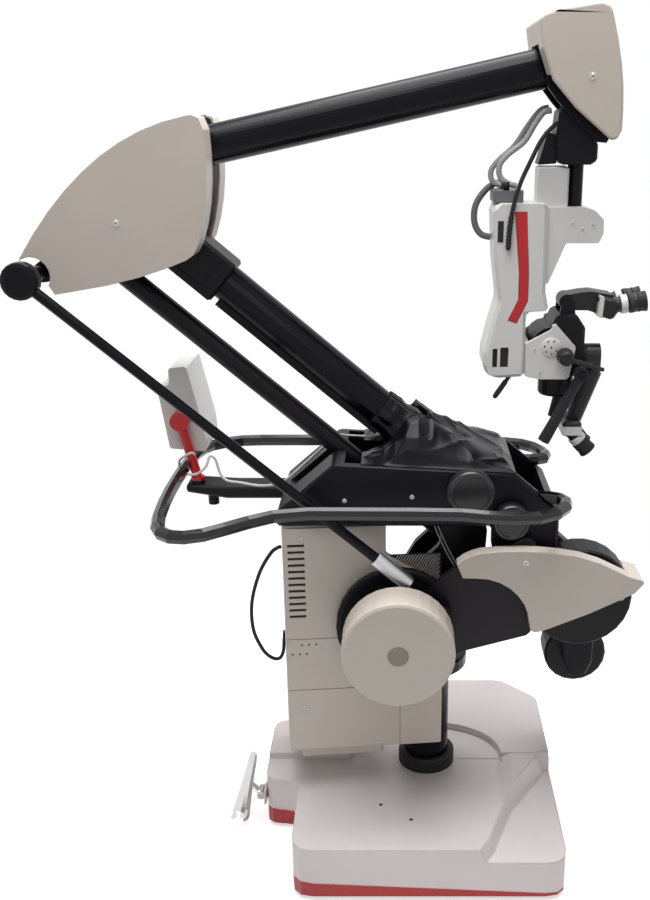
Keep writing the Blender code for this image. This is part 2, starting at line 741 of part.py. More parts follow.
def make_chassis():
    beam = slab(chassis_outline(), -CHASSIS_HALF, CHASSIS_HALF)
    beam = softened(beam, 0.006, 1, 40)
    right = BOOM_PIVOT[0] + 0.049
    well = box((-0.19, -CHASSIS_SLOT, CHASSIS_BOTTOM + 0.018), (right, CHASSIS_SLOT, 1.2))
    pit = box((0.128, -CHASSIS_SLOT, 0.6), (right, CHASSIS_SLOT, CHASSIS_BOTTOM + 0.03))
    mouth = box((right - 0.02, -CHASSIS_SLOT, 0.6), (right + 0.1, CHASSIS_SLOT, 0.845))
    link_slot = box((-0.33, -0.036, 0.915), (-0.23, 0.036, 1.2))
    link_step = box((-0.235, -0.036, 0.884), (-0.18, 0.036, 1.2))
    link_pit = box((-0.185, -0.035, 0.7), (0.01, 0.035, CHASSIS_BOTTOM + 0.03))
    boom_pit = box((0.005, -0.050, 0.7), (0.129, 0.050, CHASSIS_BOTTOM + 0.03))
    beam = cut(beam, well, pit, mouth, link_slot, link_step, link_pit, boom_pit)
    shaft = pin(BOOM_PIVOT, LEVER_NEAR - 0.001, CHASSIS_HALF + 0.006, SHAFT_RADIUS, 16)
    place("chassis_beam", union(beam, shaft), "chassis", "satin_black")


def make_boot():
    shape = [(-0.152, 0.985), (-0.152, 1.014), (-0.105, 1.034), (-0.070, 1.062), (-0.048, 1.112),
             (-0.020, 1.118), (0.030, 1.080), (0.110, 1.040), (0.189, 1.004), (0.189, 0.965)]
    boot = softened(slab(shape, -BOOT_HALF, BOOT_HALF), 0.02, 2, 50)
    corners = [(x, z + GAP) for x, z in chassis_outline()[2:5]]
    seat = slab([(-0.3, corners[0][1] + 0.006)] + corners + [(0.3, 0.983), (0.3, 0.8), (-0.3, 0.8)], -0.2, 0.2)
    boot = cut(boot, seat)
    tunnel = cylinder(at(BOOM_PIVOT, 0), at(along(BOOM_PIVOT, BOOM_RUN, 0.6), 0), 0.067, 20)
    place("boom_boot", cut(boot, tunnel), "chassis", "vinyl")


def rail_points():
    near = [(0.232, -0.131), (0.262, -0.132), (0.292, -0.150), (0.290, -0.195), (0.240, -0.250), (0.150, -0.258), (0.060, -0.238),
            (-0.130, -0.233), (-0.300, -0.236), (-0.390, -0.285), (-0.460, -0.345), (-0.515, -0.362),
            (-0.555, -0.335), (-0.574, -0.270), (-0.584, -0.140), (-0.586, 0.000)]
    far = [(-0.582, 0.120), (-0.572, 0.200), (-0.545, 0.250), (-0.480, 0.285), (-0.390, 0.292), (-0.200, 0.290),
           (0.060, 0.282), (0.180, 0.275), (0.255, 0.250), (0.288, 0.200), (0.292, 0.150), (0.262, 0.132), (0.232, 0.131)]
    return [(x, y, RAIL_HEIGHT) for x, y in near + far]


def make_rail():
    rail = tube(smooth_route(rail_points(), 48), RAIL_RADIUS, 2)
    corner = Vector(chassis_outline()[4])
    foot = Vector(chassis_outline()[5])
    slope = (foot - corner).normalized()
    out = Vector((-slope.y, slope.x)) * GAP
    top = corner - slope * 0.1 + out
    low = foot + slope * 0.1 + out
    seat = slab([tuple(top), tuple(low), (0.1, low.y), (0.1, top.y)], -0.149, 0.149)
    place("handle_rail", cut(rail, seat), "chassis", "gloss_black")


def make_knobs():
    for number, (centre, radius) in enumerate(zip(KNOB_CENTRES, KNOB_RADII), 1):
        d = KNOB_DEPTH
        profile = [(0.0, d), (radius - 0.012, d), (radius - 0.004, d - 0.002), (radius, d - 0.007),
                   (radius, 0.004), (radius - 0.004, 0.0), (0.0, 0.0)]
        knob = turned(profile, at(centre, -CHASSIS_HALF - GAP), (0, -1, 0), 20)
        place("balance_knob_%d" % number, knob, "knob_%d" % number, "satin_black")


# Cabinet

def cabinet_turn(solid):
    return turned_about(solid, (0, 0, 0), "Z", CHASSIS_YAW)


def make_cabinet():
    plan_points = [(CABINET_LEFT, CABINET_NEAR), (CABINET_RIGHT, CABINET_NEAR),
                   (CABINET_RIGHT, CABINET_RIGHT_FAR), (CABINET_STEP, CABINET_RIGHT_FAR),
                   (CABINET_STEP, CABINET_FAR), (CABINET_LEFT, CABINET_FAR)]
    shell = plan(rounded_corners(plan_points, 0.012, 2), CABINET_BOTTOM, CABINET_TOP)
    above = slab([(CABINET_STEP, CABINET_TOP + 0.1), (CABINET_STEP, 0.790), (0.0, 0.720),
                  (CABINET_RIGHT + 0.1, 0.690), (CABINET_RIGHT + 0.1, CABINET_TOP + 0.1)], -0.3, 0.3)
    shell = cut(shell, above)
    slots = []
    for row in range(6):
        x = CABINET_STEP + 0.018 + row * 0.019
        top = 0.787 - (x - CABINET_STEP) * 0.75
        slot = box((x, CABINET_NEAR - 0.01, top - 0.070), (x + 0.006, CABINET_NEAR + 0.005, top - 0.024))
        slots.append(turned_about(slot, (x, 0, top - 0.070), "Y", math.radians(25)))
    flange_room = turned_about(cylinder((0, 0, POST_TOP - 0.005), (0, 0, POST_TOP + FLANGE_HEIGHT + 0.012),
                                        FLANGE_RADIUS + 0.003, 36), (0, 0, 0), "Z", -CHASSIS_YAW)
    room = box((CABINET_LEFT + CABINET_WALL, CABINET_NEAR + CABINET_WALL, CABINET_BOTTOM + 2 * CABINET_WALL),
               (CABINET_STEP - CABINET_WALL, CABINET_FAR - CABINET_WALL, CABINET_TOP + 0.1))
    shell = cut(shell, flange_room, room)
    tray = softened(box((CABINET_LEFT + 0.03, CABINET_NEAR + 0.012, TRAY_BOTTOM),
                        (CABINET_STEP - 0.006, CABINET_FAR - 0.02, CABINET_BOTTOM + 0.004)), 0.006)
    place("cabinet_shell", cabinet_turn(union(shell, tray)), "chassis", "ivory")
    front = CABINET_NEAR - GAP
    left = CABINET_LEFT + 0.004
    right = CABINET_RIGHT - 0.003
    low = CABINET_BOTTOM + 0.004
    high = CABINET_TOP - 0.006
    shape = [(left, low), (right, low), (right, 0.6885), (0.0, 0.7185), (CABINET_STEP, 0.787), (CABINET_STEP, high),
             (left, high)]
    panel = slab(shape, front - PANEL_THICKNESS, front)
    groove = front - PANEL_THICKNESS + GROOVE
    lines = [(left - 1, right + 1, 0.4500), (left - 1, right + 1, 0.5840)]
    grooves = [box((a, -1.0, z), (b, groove, z + GROOVE)) for a, b, z in lines]
    grooves.append(box((-0.079, -1.0, 0.0), (-0.079 + GROOVE, groove, 0.451)))
    grooves.append(box((CABINET_STEP - GROOVE, -1.0, 0.451), (CABINET_STEP, groove, 1.0)))
    vents = []
    for row in range(12):
        z = 0.640 + row * 0.016
        vents.append(box((left + 0.008, front - 0.1, z), (left + 0.046, front + 0.0002, z + 0.007)))
    place("cabinet_panel", cabinet_turn(cut(panel, *grooves, *vents, *slots)), "chassis", "ivory")


def grouped(solids):
    """Several separate solids kept as one object."""
    form = bmesh.new()
    for solid in solids:
        form.from_mesh(solid.data)
    mesh = bpy.data.meshes.new("group")
    form.to_mesh(mesh)
    form.free()
    for solid in solids:
        bpy.data.objects.remove(solid)
    return work_object(mesh)


def make_side_cable():
    wall = CABINET_LEFT - CABLE_RADIUS - GAP
    route = [(wall, -0.060, 0.800), (wall - 0.020, -0.064, 0.790), (wall - 0.050, -0.068, 0.740),
             (wall - 0.070, -0.072, 0.670), (wall - 0.070, -0.072, 0.600), (wall - 0.045, -0.068, 0.530),
             (wall - 0.020, -0.064, 0.505), (wall - 0.004, -0.060, 0.540), (wall, -0.060, 0.620)]
    cable = tube(smooth_route(route, 20), CABLE_RADIUS, 1)
    place("side_cable", cabinet_turn(cable), "chassis", "rubber")


# Monitor

def make_monitor():
    x, y = MONITOR_POST
    top = 0.905
    arm = slab([(-0.3433, 0.870), (-0.3433, 0.898), (-0.460, 0.898), (-0.576, top), (-0.576, 0.886), (-0.480, 0.870)],
               y - 0.024, y + 0.050)
    arm = softened(arm, 0.004, 1, 40)
    seat = cylinder((x, y, top - 0.02), (x, y, top + 0.006), 0.017, 20)
    knob = cylinder((x + 0.035, y, 0.850), (x + 0.035, y, 0.880), 0.013, 12)
    place("monitor_arm", union(arm, seat, knob), "chassis", "satin_black")
    foot = top + 0.006 + GAP
    tilt = Vector((MONITOR_TILT[0], y, MONITOR_TILT[1]))
    flange = cylinder((x, y, foot), (x, y, foot + 0.008), 0.016, 20)
    post = cylinder((x, y, foot + 0.004), (tilt.x, y, tilt.z - 0.006), 0.0115, 16)
    disc = pin(MONITOR_TILT, y - 0.014, MONITOR_NEAR - GAP, 0.0225, 24)
    stud = pin(MONITOR_TILT, y, MONITOR_NEAR + 0.020, 0.008, 16)
    place("monitor_yoke", union(flange, post, disc, stud), "monitor_yoke", "red")
    shape = [(-0.638, 1.132), (-0.609, 1.139), (-0.609, 1.179), (-0.567, 1.184), (-0.533, 1.029), (-0.529, 0.975),
             (-0.617, 0.983)]
    case = slab(rounded_corners(shape, 0.005, 1), MONITOR_NEAR, MONITOR_FAR)
    screen = slab([(-0.70, 0.997), (-0.6165, 0.997), (-0.6345, 1.122), (-0.70, 1.122)],
                  MONITOR_NEAR + 0.012, MONITOR_FAR - 0.012)
    bore = pin(MONITOR_TILT, y, MONITOR_NEAR + 0.0205, 0.008 + RUNNING, 16)
    place("monitor_case", cut(case, screen, bore), "monitor", "ivory")


# Boom

def make_boom():
    run = BOOM_RUN
    hub = pin(BOOM_PIVOT, -0.100, 0.100, 0.046, 20)
    a = along(BOOM_PIVOT, run, 0.0, 0.046)
    b = along(BOOM_PIVOT, run, 0.352, 0.040)
    c = along(BOOM_PIVOT, run, 0.352, -0.040)
    d = along(BOOM_PIVOT, run, 0.0, -0.046)
    bar = softened(slab([a, b, c, d], -0.044, 0.044), 0.006, 1)
    tail = [moved(BOOM_PIVOT, (0.020, 0.036)), moved(WEIGHT_CENTRE, (0.045, 0.045)),
            moved(WEIGHT_CENTRE, (0.058, -0.020)), moved(DRUM2_CENTRE, (0.035, 0.0)),
            moved(DRUM2_CENTRE, (0.020, -0.035)), moved(DRUM2_CENTRE, (-0.020, -0.035)),
            moved(DRUM2_CENTRE, (-0.035, 0.0)), moved(WEIGHT_CENTRE, (-0.045, -0.045)),
            moved(BOOM_PIVOT, (-0.030, -0.034))]
    tail = softened(slab(tail, WEIGHT_FAR + GAP, 0.030), 0.004, 1, 50)
    bore = pin(BOOM_PIVOT, -0.2, 0.2, SHAFT_RADIUS + RUNNING, 16)
    place("boom_root", cut(union(hub, bar, tail), bore), "boom", "satin_black")
    start = at(along(BOOM_PIVOT, run, 0.352 + GAP), 0.0)
    tube_end = at(along(BOOM_PIVOT, run, 0.872), 0.0)
    barrel = cylinder(start, tube_end, BOOM_RADIUS, 24)
    ring = cylinder(start, at(along(BOOM_PIVOT, run, 0.366), 0.0), BOOM_RADIUS + 0.005, 24)
    spine = slab([along(BOOM_PIVOT, run, 0.40, 0.034), along(BOOM_PIVOT, run, 0.40, 0.052),
                  along(BOOM_PIVOT, run, 0.86, 0.052), along(BOOM_PIVOT, run, 0.86, 0.034)], -0.018, 0.018)
    bore = cylinder(at(along(BOOM_PIVOT, run, 0.3), 0.0), at(along(BOOM_PIVOT, run, 0.9), 0.0),
                    BOOM_RADIUS - TUBE_WALL, 16)
    place("boom_tube", cut(union(barrel, ring, spine), bore), "boom", "gloss_black")
    block = slab([along(BOOM_PIVOT, run, 0.872 + GAP, 0.050), along(BOOM_PIVOT, run, 1.010, 0.050),
                  along(BOOM_PIVOT, run, 1.080, 0.036), along(BOOM_PIVOT, run, 1.080, -0.036),
                  along(BOOM_PIVOT, run, 1.010, -0.050), along(BOOM_PIVOT, run, 0.872 + GAP, -0.050)],
                 -0.0445, 0.0445)
    block = softened(block, 0.006, 1)
    lug = pin(ELBOW, -0.042, 0.042, 0.036, 20)
    lug_bar = slab([along(BOOM_PIVOT, run, 1.06, 0.034), along(BOOM_PIVOT, run, BOOM_LENGTH, 0.034),
                    along(BOOM_PIVOT, run, BOOM_LENGTH, -0.034), along(BOOM_PIVOT, run, 1.06, -0.034)],
                   -0.042, 0.042)
    fork_gap = slab([along(BOOM_PIVOT, run, 1.085, 0.08), along(BOOM_PIVOT, run, 1.25, 0.08),
                     along(BOOM_PIVOT, run, 1.25, -0.08), along(BOOM_PIVOT, run, 1.085, -0.08)], -0.0145, 0.0145)
    bore = pin(ELBOW, -0.2, 0.2, ELBOW_PIN_RADIUS + RUNNING, 16)
    pad_centre = along(BOOM_PIVOT, run, 0.940)
    pad = turned_about(box((pad_centre[0] - 0.034, -0.1, pad_centre[1] - 0.034),
                           (pad_centre[0] + 0.034, -0.0415, pad_centre[1] + 0.034)),
                       at(pad_centre, 0.0), "Y", BOOM_ANGLE)
    knuckle = cut(union(block, lug, lug_bar), fork_gap, bore, pad)
    place("boom_knuckle", knuckle, "boom", "satin_black")


def make_weights():
    r = WEIGHT_RADIUS
    d = WEIGHT_FAR - WEIGHT_NEAR
    profile = [(0.0, d), (0.030, d), (0.034, d - 0.004), (r - 0.016, d - 0.004), (r - 0.004, d - 0.004),
               (r, d - 0.009), (r, 0.004), (r - 0.004, 0.0), (0.0, 0.0)]
    weight = turned(profile, at(WEIGHT_CENTRE, WEIGHT_FAR), (0, -1, 0), 26)
    place("boom_weight_large", weight, "boom", "satin_black")
    near = 0.030 + GAP
    r = DRUM2_RADIUS
    d = DRUM2_DEPTH
    profile = [(0.0, d), (r - 0.006, d), (r, d - 0.006), (r, 0.004), (r - 0.004, 0.0), (0.0, 0.0)]
    drum = turned(profile, at(DRUM2_CENTRE, near + d), (0, -1, 0), 20)
    place("boom_weight_small", drum, "boom", "satin_black")


def wing_outline():
    top = bent((0.058, 0.802), (0.075, 0.815), (0.091, 0.823), 3)
    crown = bent((0.110, 0.829), (0.217, 0.8335), (0.330, 0.820), 6)
    slope = [(0.374, 0.805), (0.441, 0.772)]
    tip = [(0.470, 0.764), (0.474, 0.756), (0.454, 0.732)]
    under = [(0.357, 0.683), (0.252, 0.639), (0.236, 0.636), (0.2265, 0.640)]
    hollow = circle_points((0.105, 0.650), 0.1185, 8, 2, 92, closed=True)
    return top + crown + slope + tip + under + hollow + [(0.072, 0.769)]


def make_wing():
    outer = softened(slab(wing_outline(), WING_NEAR, WING_FAR), 0.006, 2, 50)
    outer = cut(outer, box((-1, WING_FAR - 0.009, 0), (1, 0, 2)))
    inner = slab(offset_outline(wing_outline(), SHELL_WALL), WING_NEAR + SHELL_WALL, 0.0)
    sweep = pin(BOOM_PIVOT, LEVER_NEAR - 0.0015, 0.0, LEVER_SWEEP, 36)
    notch = pin(BOOM_PIVOT, -CHASSIS_HALF - 0.0015, 0.0, 0.085, 28)
    shell = cut(outer, sweep, notch, inner)
    posts = []
    for centre in ((0.385, 0.735), (0.425, 0.722)):
        posts.append(pin(centre, WING_NEAR + 0.002, WEIGHT_NEAR + 0.004 - GAP, 0.008, 10))
    place("wing_cover", union(shell, *posts), "boom", "ivory")


# Parallel link and elbow

def make_link():
    run = BOOM_RUN
    length = BOOM_LENGTH
    barrel = cylinder(at(along(LINK_LOW, run, 0.045), 0), at(along(LINK_LOW, run, length - 0.050), 0), LINK_RADIUS, 16)
    low = slab(capsule(LINK_LOW, along(LINK_LOW, run, 0.055), 0.020, 0.020, 6), -0.016, 0.016)
    high = slab(capsule(along(LINK_LOW, run, length - 0.058), LINK_HIGH, 0.022, 0.018, 6), -0.026, 0.026)
    fork_gap = slab(capsule(along(LINK_LOW, run, length - 0.024), along(LINK_HIGH, run, 0.1), 0.034, 0.034, 4),
                    -0.0142, 0.0142)
    bores = [pin(LINK_LOW, -0.1, 0.1, LINK_PIN_RADIUS + RUNNING), pin(LINK_HIGH, -0.1, 0.1, LINK_PIN_RADIUS + RUNNING)]
    place("parallel_link", cut(union(barrel, low, high), fork_gap, *bores), "link", "gloss_black")


def make_elbow_bracket():
    plate = slab(capsule(ELBOW, LINK_HIGH, 0.034, 0.016, 7), -0.0135, 0.0135)
    shaft = pin(ELBOW, -0.066, 0.066, ELBOW_PIN_RADIUS, 16)
    link_pin = pin(LINK_HIGH, -0.030, 0.030, LINK_PIN_RADIUS)
    place("elbow_bracket", union(plate, shaft, link_pin), "elbow", "aluminium")


# Upper arm

def elbow_cover_outline():
    crown = bent((-0.860, 1.456), (-0.692, 1.650), (-0.500, 1.741), 10)
    corner = [(-0.484, 1.744), (-0.470, 1.738)]
    face = bent((-0.461, 1.715), (-0.462, 1.590), (-0.486, 1.483), 6)
    heel = [(-0.497, 1.465), (-0.512, 1.455)]
    under = bent((-0.550, 1.440), (-0.645, 1.411), (-0.755, 1.390), 4)
    return crown + corner + face + heel + under + [(-0.791, 1.384), (-0.812, 1.419)]


def head_cover_outline():
    top = [(0.204, 1.922), (0.214, 1.931), (0.235, 1.938)] + bent((0.26, 1.943), (0.30, 1.949), (0.325, 1.952), 3)
    front = [(0.341, 1.946), (0.347, 1.934)] + bent((0.360, 1.886), (0.373, 1.820), (0.378, 1.755), 4)
    under = [(0.378, 1.715), (0.370, 1.698), (0.358, 1.694), (0.283, 1.756), (0.235, 1.809)]
    return top + front + under + [(0.213, 1.868)]


def mirrored(solid):
    """A second solid that is the first one's reflection in the arm plane."""
    mesh = solid.data.copy()
    mesh.transform(Matrix.Diagonal((1.0, -1.0, 1.0, 1.0)))
    mesh.flip_normals()
    return work_object(mesh)


def near_cover(points, inner_face, openings, posts):
    """The near half of a pair of covers: a face with a rim round it, hollow towards the arm plane."""
    outer = softened(slab(points, -SHELL_OUTER, 0.02 - inner_face), 0.012, 2, 40)
    trim = slab(offset_outline(points, -0.05), -inner_face, 0.1)
    hollow = slab(offset_outline(points, SHELL_WALL), SHELL_WALL - SHELL_OUTER, 0.1)
    shell = cut(outer, trim, hollow, *openings)
    solids = [pin(spot, 0.003 - SHELL_OUTER, -reach, 0.008, 10) for spot, reach in posts]
    return union(shell, *solids)


def make_arm():
    angle = ARM_ANGLE
    barrel = cylinder(at(along(ELBOW, angle, 0.14, TUBE_RISE), 0), at(along(ELBOW, angle, 0.915, TUBE_RISE), 0),
                      ARM_RADIUS, 40)
    bore = cylinder(at(along(ELBOW, angle, 0.1, TUBE_RISE), 0), at(along(ELBOW, angle, 1.0, TUBE_RISE), 0),
                    ARM_RADIUS - TUBE_WALL, 16)
    place("arm_tube", cut(barrel, bore), "arm", "gloss_black")
    start = along(ELBOW, angle, 0.05, TUBE_RISE)
    cheek_shape = [along(ELBOW, angle, 0.150, 0.100), along(ELBOW, angle, 0.150, 0.034),
                   along(ELBOW, angle, 0.040, -0.034), along(ELBOW, angle, -0.02, -0.040),
                   moved(TAIL, (0.020, -0.020)), moved(TAIL, (-0.008, -0.024)), moved(TAIL, (-0.022, 0.006)),
                   moved(TAIL, (0.010, 0.030)), along(ELBOW, angle, -0.02, 0.060)]
    cheeks = []
    for side in (-1, 1):
        near, far = sorted((side * 0.0465, side * 0.060))
        cheeks.append(slab(rounded_corners(cheek_shape, 0.02, 2), near, far))
    block = slab([along(start, angle, 0.0, 0.036), along(start, angle, 0.0895, 0.036),
                  along(start, angle, 0.0895, -0.030), along(start, angle, 0.0, -0.022)], -0.050, 0.050)
    tail_block = pin(moved(TAIL, (0.014, 0.012)), -0.050, 0.050, 0.017, 12)
    bore = pin(ELBOW, -0.2, 0.2, ELBOW_PIN_RADIUS + RUNNING, 16)
    stud = pin(TAIL, ROD_PLANE + 0.0300, -0.050, 0.016, 14)
    journal = pin(TAIL, ROD_PLANE + 0.0215, -0.10, TAIL_JOURNAL_RADIUS, 14)
    spine = union(cut(union(cheeks[0], cheeks[1], block, tail_block), bore), stud, journal)
    place("elbow_spine", spine, "arm", "satin_black")
    notch = pin(moved(ELBOW_DRAWN, TAIL_OFFSET), -0.2, 0.0, 0.040, 20)
    posts = [((-0.640, 1.620), 0.060 + GAP), ((-0.545, 1.655), 0.060 + GAP)]
    shell = near_cover(elbow_cover_outline(), SHELL_INNER, [notch], posts)
    shifted(shell, ELBOW_SHIFT)
    place("elbow_cover_far", mirrored(shell), "arm", "ivory")
    place("elbow_cover_near", shell, "arm", "ivory")


def make_arm_end():
    angle = ARM_ANGLE
    end = along(ELBOW, angle, 0.915, TUBE_RISE)
    lug_shape = [along(end, angle, GAP, 0.040), along(end, angle, 0.060, 0.036), along(end, angle, 0.085, 0.0),
                 moved(HEAD, (0.044, -0.015)), moved(HEAD, (0.058, -0.077)), moved(HEAD, (0.052, -0.087)),
                 moved(HEAD, (0.033, -0.085)), moved(HEAD, (-0.018, -0.042)), moved(HEAD, (-0.052, -0.005)),
                 along(end, angle, GAP, -0.038)]
    plates = []
    for side in (-1, 1):
        near, far = sorted((side * 0.0465, side * 0.056))
        plates.append(slab(lug_shape, near, far))
    head_block = slab([along(end, angle, GAP, 0.034), along(end, angle, 0.050, 0.030), along(end, angle, 0.060, -0.004),
                       along(end, angle, GAP, -0.004)], -0.050, 0.050)
    head_bore = pin(HEAD, -0.2, 0.2, ELBOW_PIN_RADIUS + RUNNING, 16)
    place("arm_end", cut(union(plates[0], plates[1], head_block), head_bore), "arm", "satin_black")
    x, z = HEAD_DRAWN
    tube_slot = turned_about(box((x - 0.30, -0.058, z + 0.005), (x - 0.05, 0.1, z + 0.122)),
                             at(HEAD_DRAWN, 0), "Y", -angle)
    throat = slab([(0.190, 1.822), (0.240, 1.820), (0.291, 1.767), (0.3605, 1.709), (0.3715, 1.700),
                   (0.380, 1.650), (0.190, 1.650)], SHELL_WALL + 0.001 - SHELL_OUTER, 0.1)
    front_notch = box((0.345, -0.058, 1.600), (0.450, 0.1, 1.745))
    shell = near_cover(head_cover_outline(), GAP, [tube_slot, throat, front_notch], [((0.313, 1.860), 0.056 + GAP)])
    shifted(shell, HEAD_SHIFT)
    place("head_cover_far", mirrored(shell), "arm", "ivory")
    place("head_cover_near", shell, "arm", "ivory")


# Control rod and balance lever

def make_rod():
    near = ROD_PLANE
    eye = pin(TAIL, near + 0.0155, near + 0.0297, 0.026, 16)
    pocket = pin(TAIL, near + 0.0208, near + 0.05, TAIL_JOURNAL_RADIUS + RUNNING, 14)
    journal = pin(TAIL, near - 0.010, near + 0.017, TAIL_JOURNAL_RADIUS, 14)
    place("rod_eye", union(cut(eye, pocket), journal), "rod_eye", "aluminium")
    head = turned([(0.0, 0.019), (0.030, 0.019), (0.0375, 0.015), (0.039, 0.010), (0.039, -0.010), (0.036, -0.0152),
                   (0.0, -0.0152)], at(TAIL, near), (0, -1, 0), 20)
    bore = pin(TAIL, near - 0.0106, near + 0.1, TAIL_JOURNAL_RADIUS + RUNNING, 14)
    down = BOOM_RUN + math.pi
    far_end = along(TAIL, down, BOOM_LENGTH - 0.085)
    shank = cylinder(at(along(TAIL, down, 0.030), near), at(far_end, near), ROD_RADIUS, 12)
    sleeve = cylinder(at(along(TAIL, down, BOOM_LENGTH - 0.195), near), at(along(TAIL, down, BOOM_LENGTH - 0.100), near),
                      0.0165, 8)
    lug = slab(capsule(along(TAIL, down, BOOM_LENGTH - 0.110), ROD_END, 0.013, 0.020, 6), near - 0.0095, near + 0.0095)
    lug_bore = pin(ROD_END, near - 0.1, near + 0.1, ROD_PIN_RADIUS + 0.001, 14)
    place("control_rod", cut(union(head, shank, sleeve, lug), bore, lug_bore), "rod", "gloss_black")


def make_lever():
    shape = [(0.213, 0.8530), (0.192, 0.842), (0.150, 0.815), (0.060, 0.780), (-0.030, 0.706), (-0.105, 0.690),
             (-0.140, 0.631), (-0.105, 0.572), (-0.030, 0.556), (0.060, 0.565), (0.2285, 0.6125), (0.238, 0.650),
             (0.240, 0.810), (0.234, 0.842)]
    outline = rounded_corners(shape, 0.012, 1)
    plate = cut(slab(outline, LEVER_NEAR, LEVER_FAR), pin(BOOM_PIVOT, -0.3, 0.0, SHAFT_RADIUS + RUNNING, 16))
    stud = pin(ROD_END, ROD_PLANE - 0.014, LEVER_NEAR + 0.004, ROD_PIN_RADIUS, 14)
    cap = pin(ROD_END, ROD_PLANE - 0.0185, ROD_PLANE - 0.0105, 0.0165, 12)
    hub = pin(DISC_CENTRE, CAP_FAR + GAP, LEVER_NEAR + 0.004, 0.028, 16)
    place("balance_lever", union(plate, stud, cap, hub), "lever", "satin_black")
    r = DRUM_RADIUS
    back = -DRUM_FAR
    front = 0.1645
    profile = [(0.0, front - 0.006), (0.040, front - 0.006), (r - 0.014, front - 0.006), (r - 0.012, front),
               (r - 0.002, front), (r, front - 0.002), (r, back + 0.002), (r - 0.002, back), (0.0, back)]
    drum = turned(profile, (DISC_CENTRE[0], 0.0, DISC_CENTRE[1]), (0, -1, 0), 28)
    pocket = slab(offset_outline(outline, -2 * GAP), -0.3, LEVER_FAR + GAP)
    place("counterweight_drum", cut(drum, pocket), "lever", "satin_black")
    r = CAP_RADIUS
    near = -CAP_NEAR
    far = -CAP_FAR
    profile = [(0.0, near - 0.001), (PLUG_RADIUS, near - 0.001), (PLUG_RADIUS, near - 0.002),
               (PLUG_RADIUS + 0.001, near), (r - 0.008, near), (r - 0.002, near - 0.003),
               (r, near - 0.009), (r, far + 0.002), (r - 0.002, far), (0.0, far)]
    cap = turned(profile, (DISC_CENTRE[0], 0.0, DISC_CENTRE[1]), (0, -1, 0), 32)
    place("counterweight_cap", cap, "lever", "ivory")


# Head

def make_head():
    hub = pin(HEAD_DRAWN, -0.045, 0.045, 0.028, 16)
    shape = [(0.262, 1.750), (0.282, 1.770), (0.334, 1.770), (0.338, 1.700), (0.346, 1.684), (0.346, 1.652),
             (0.332, 1.6435), (0.276, 1.6435), (0.261, 1.652), (0.256, 1.692)]
    block = softened(slab(shape, -0.042, 0.042), 0.004, 1, 40)
    shaft = pin(HEAD_DRAWN, -0.060, 0.060, ELBOW_PIN_RADIUS, 16)
    bracket = softened(slab([(0.223, 1.643), (0.262, 1.6455), (0.262, 1.700), (0.242, 1.711)], -0.030, 0.030), 0.002, 1)
    post = cylinder((HEAD_DRAWN[0], 0, 1.500), (HEAD_DRAWN[0], 0, 1.65), POST2_RADIUS, 16)
    place("head_block", union(hub, block, shaft, bracket, post), "head", "satin_black")


CARRIER_RIGHT = 0.207


def make_carrier():
    shape = [(0.129, 1.554), (0.135, 1.443), (0.146, 1.359), (0.132, 1.308), (0.117, 1.246), (0.116, 1.219),
             (0.122, 1.198), (0.146, 1.188), (CARRIER_RIGHT, 1.192), (CARRIER_RIGHT, 1.335), (0.256, 1.338),
             (0.247, 1.379), (0.245, 1.566), (0.140, 1.566)]
    arm = softened(slab(shape, -CARRIER_HALF, CARRIER_HALF), 0.007, 1, 20)
    hook = [(0.228, 1.5570), (0.323, 1.5570), (0.347, 1.550), (0.366, 1.531), (0.367, 1.503), (0.358, 1.482),
            (0.288, 1.482), (0.252, 1.394), (0.230, 1.400)]
    hook = slab(rounded_corners(hook, 0.006, 2), -0.045, 0.045)
    block = softened(box((0.225, -0.034, 1.540), (0.2900, 0.034, 1.6395)), 0.004, 1)
    bore = cylinder((HEAD_DRAWN[0], 0, 1.499), (HEAD_DRAWN[0], 0, 1.7), POST2_RADIUS + RUNNING, 16)
    shaft_bore = cylinder((0.146, 0, LATERAL_AXIS_Z), (0.3, 0, LATERAL_AXIS_Z), 0.0146, 14)
    track = [(0.176, 1.548), (0.200, 1.548), (0.2085, 1.420), (0.2085, 1.360), (0.186, 1.312), (0.168, 1.318),
             (0.189, 1.362), (0.189, 1.420)]
    channel = slab(offset_outline(track, -0.0012), -0.2, -CARRIER_HALF + 0.006)
    slots = [box((0.136, -0.2, 1.212), (0.147, -CARRIER_HALF + 0.012, 1.255)),
             box((0.153, -0.2, 1.212), (0.171, -CARRIER_HALF + 0.012, 1.258))]
    body = cut(union(arm, hook, block), bore, shaft_bore, channel, *slots)
    place("carrier_arm", body, "carrier", "white")
    strip = slab(track, -CARRIER_HALF + 0.0005, -CARRIER_HALF + 0.006 - GAP)
    place("carrier_strip", strip, "carrier", "red")


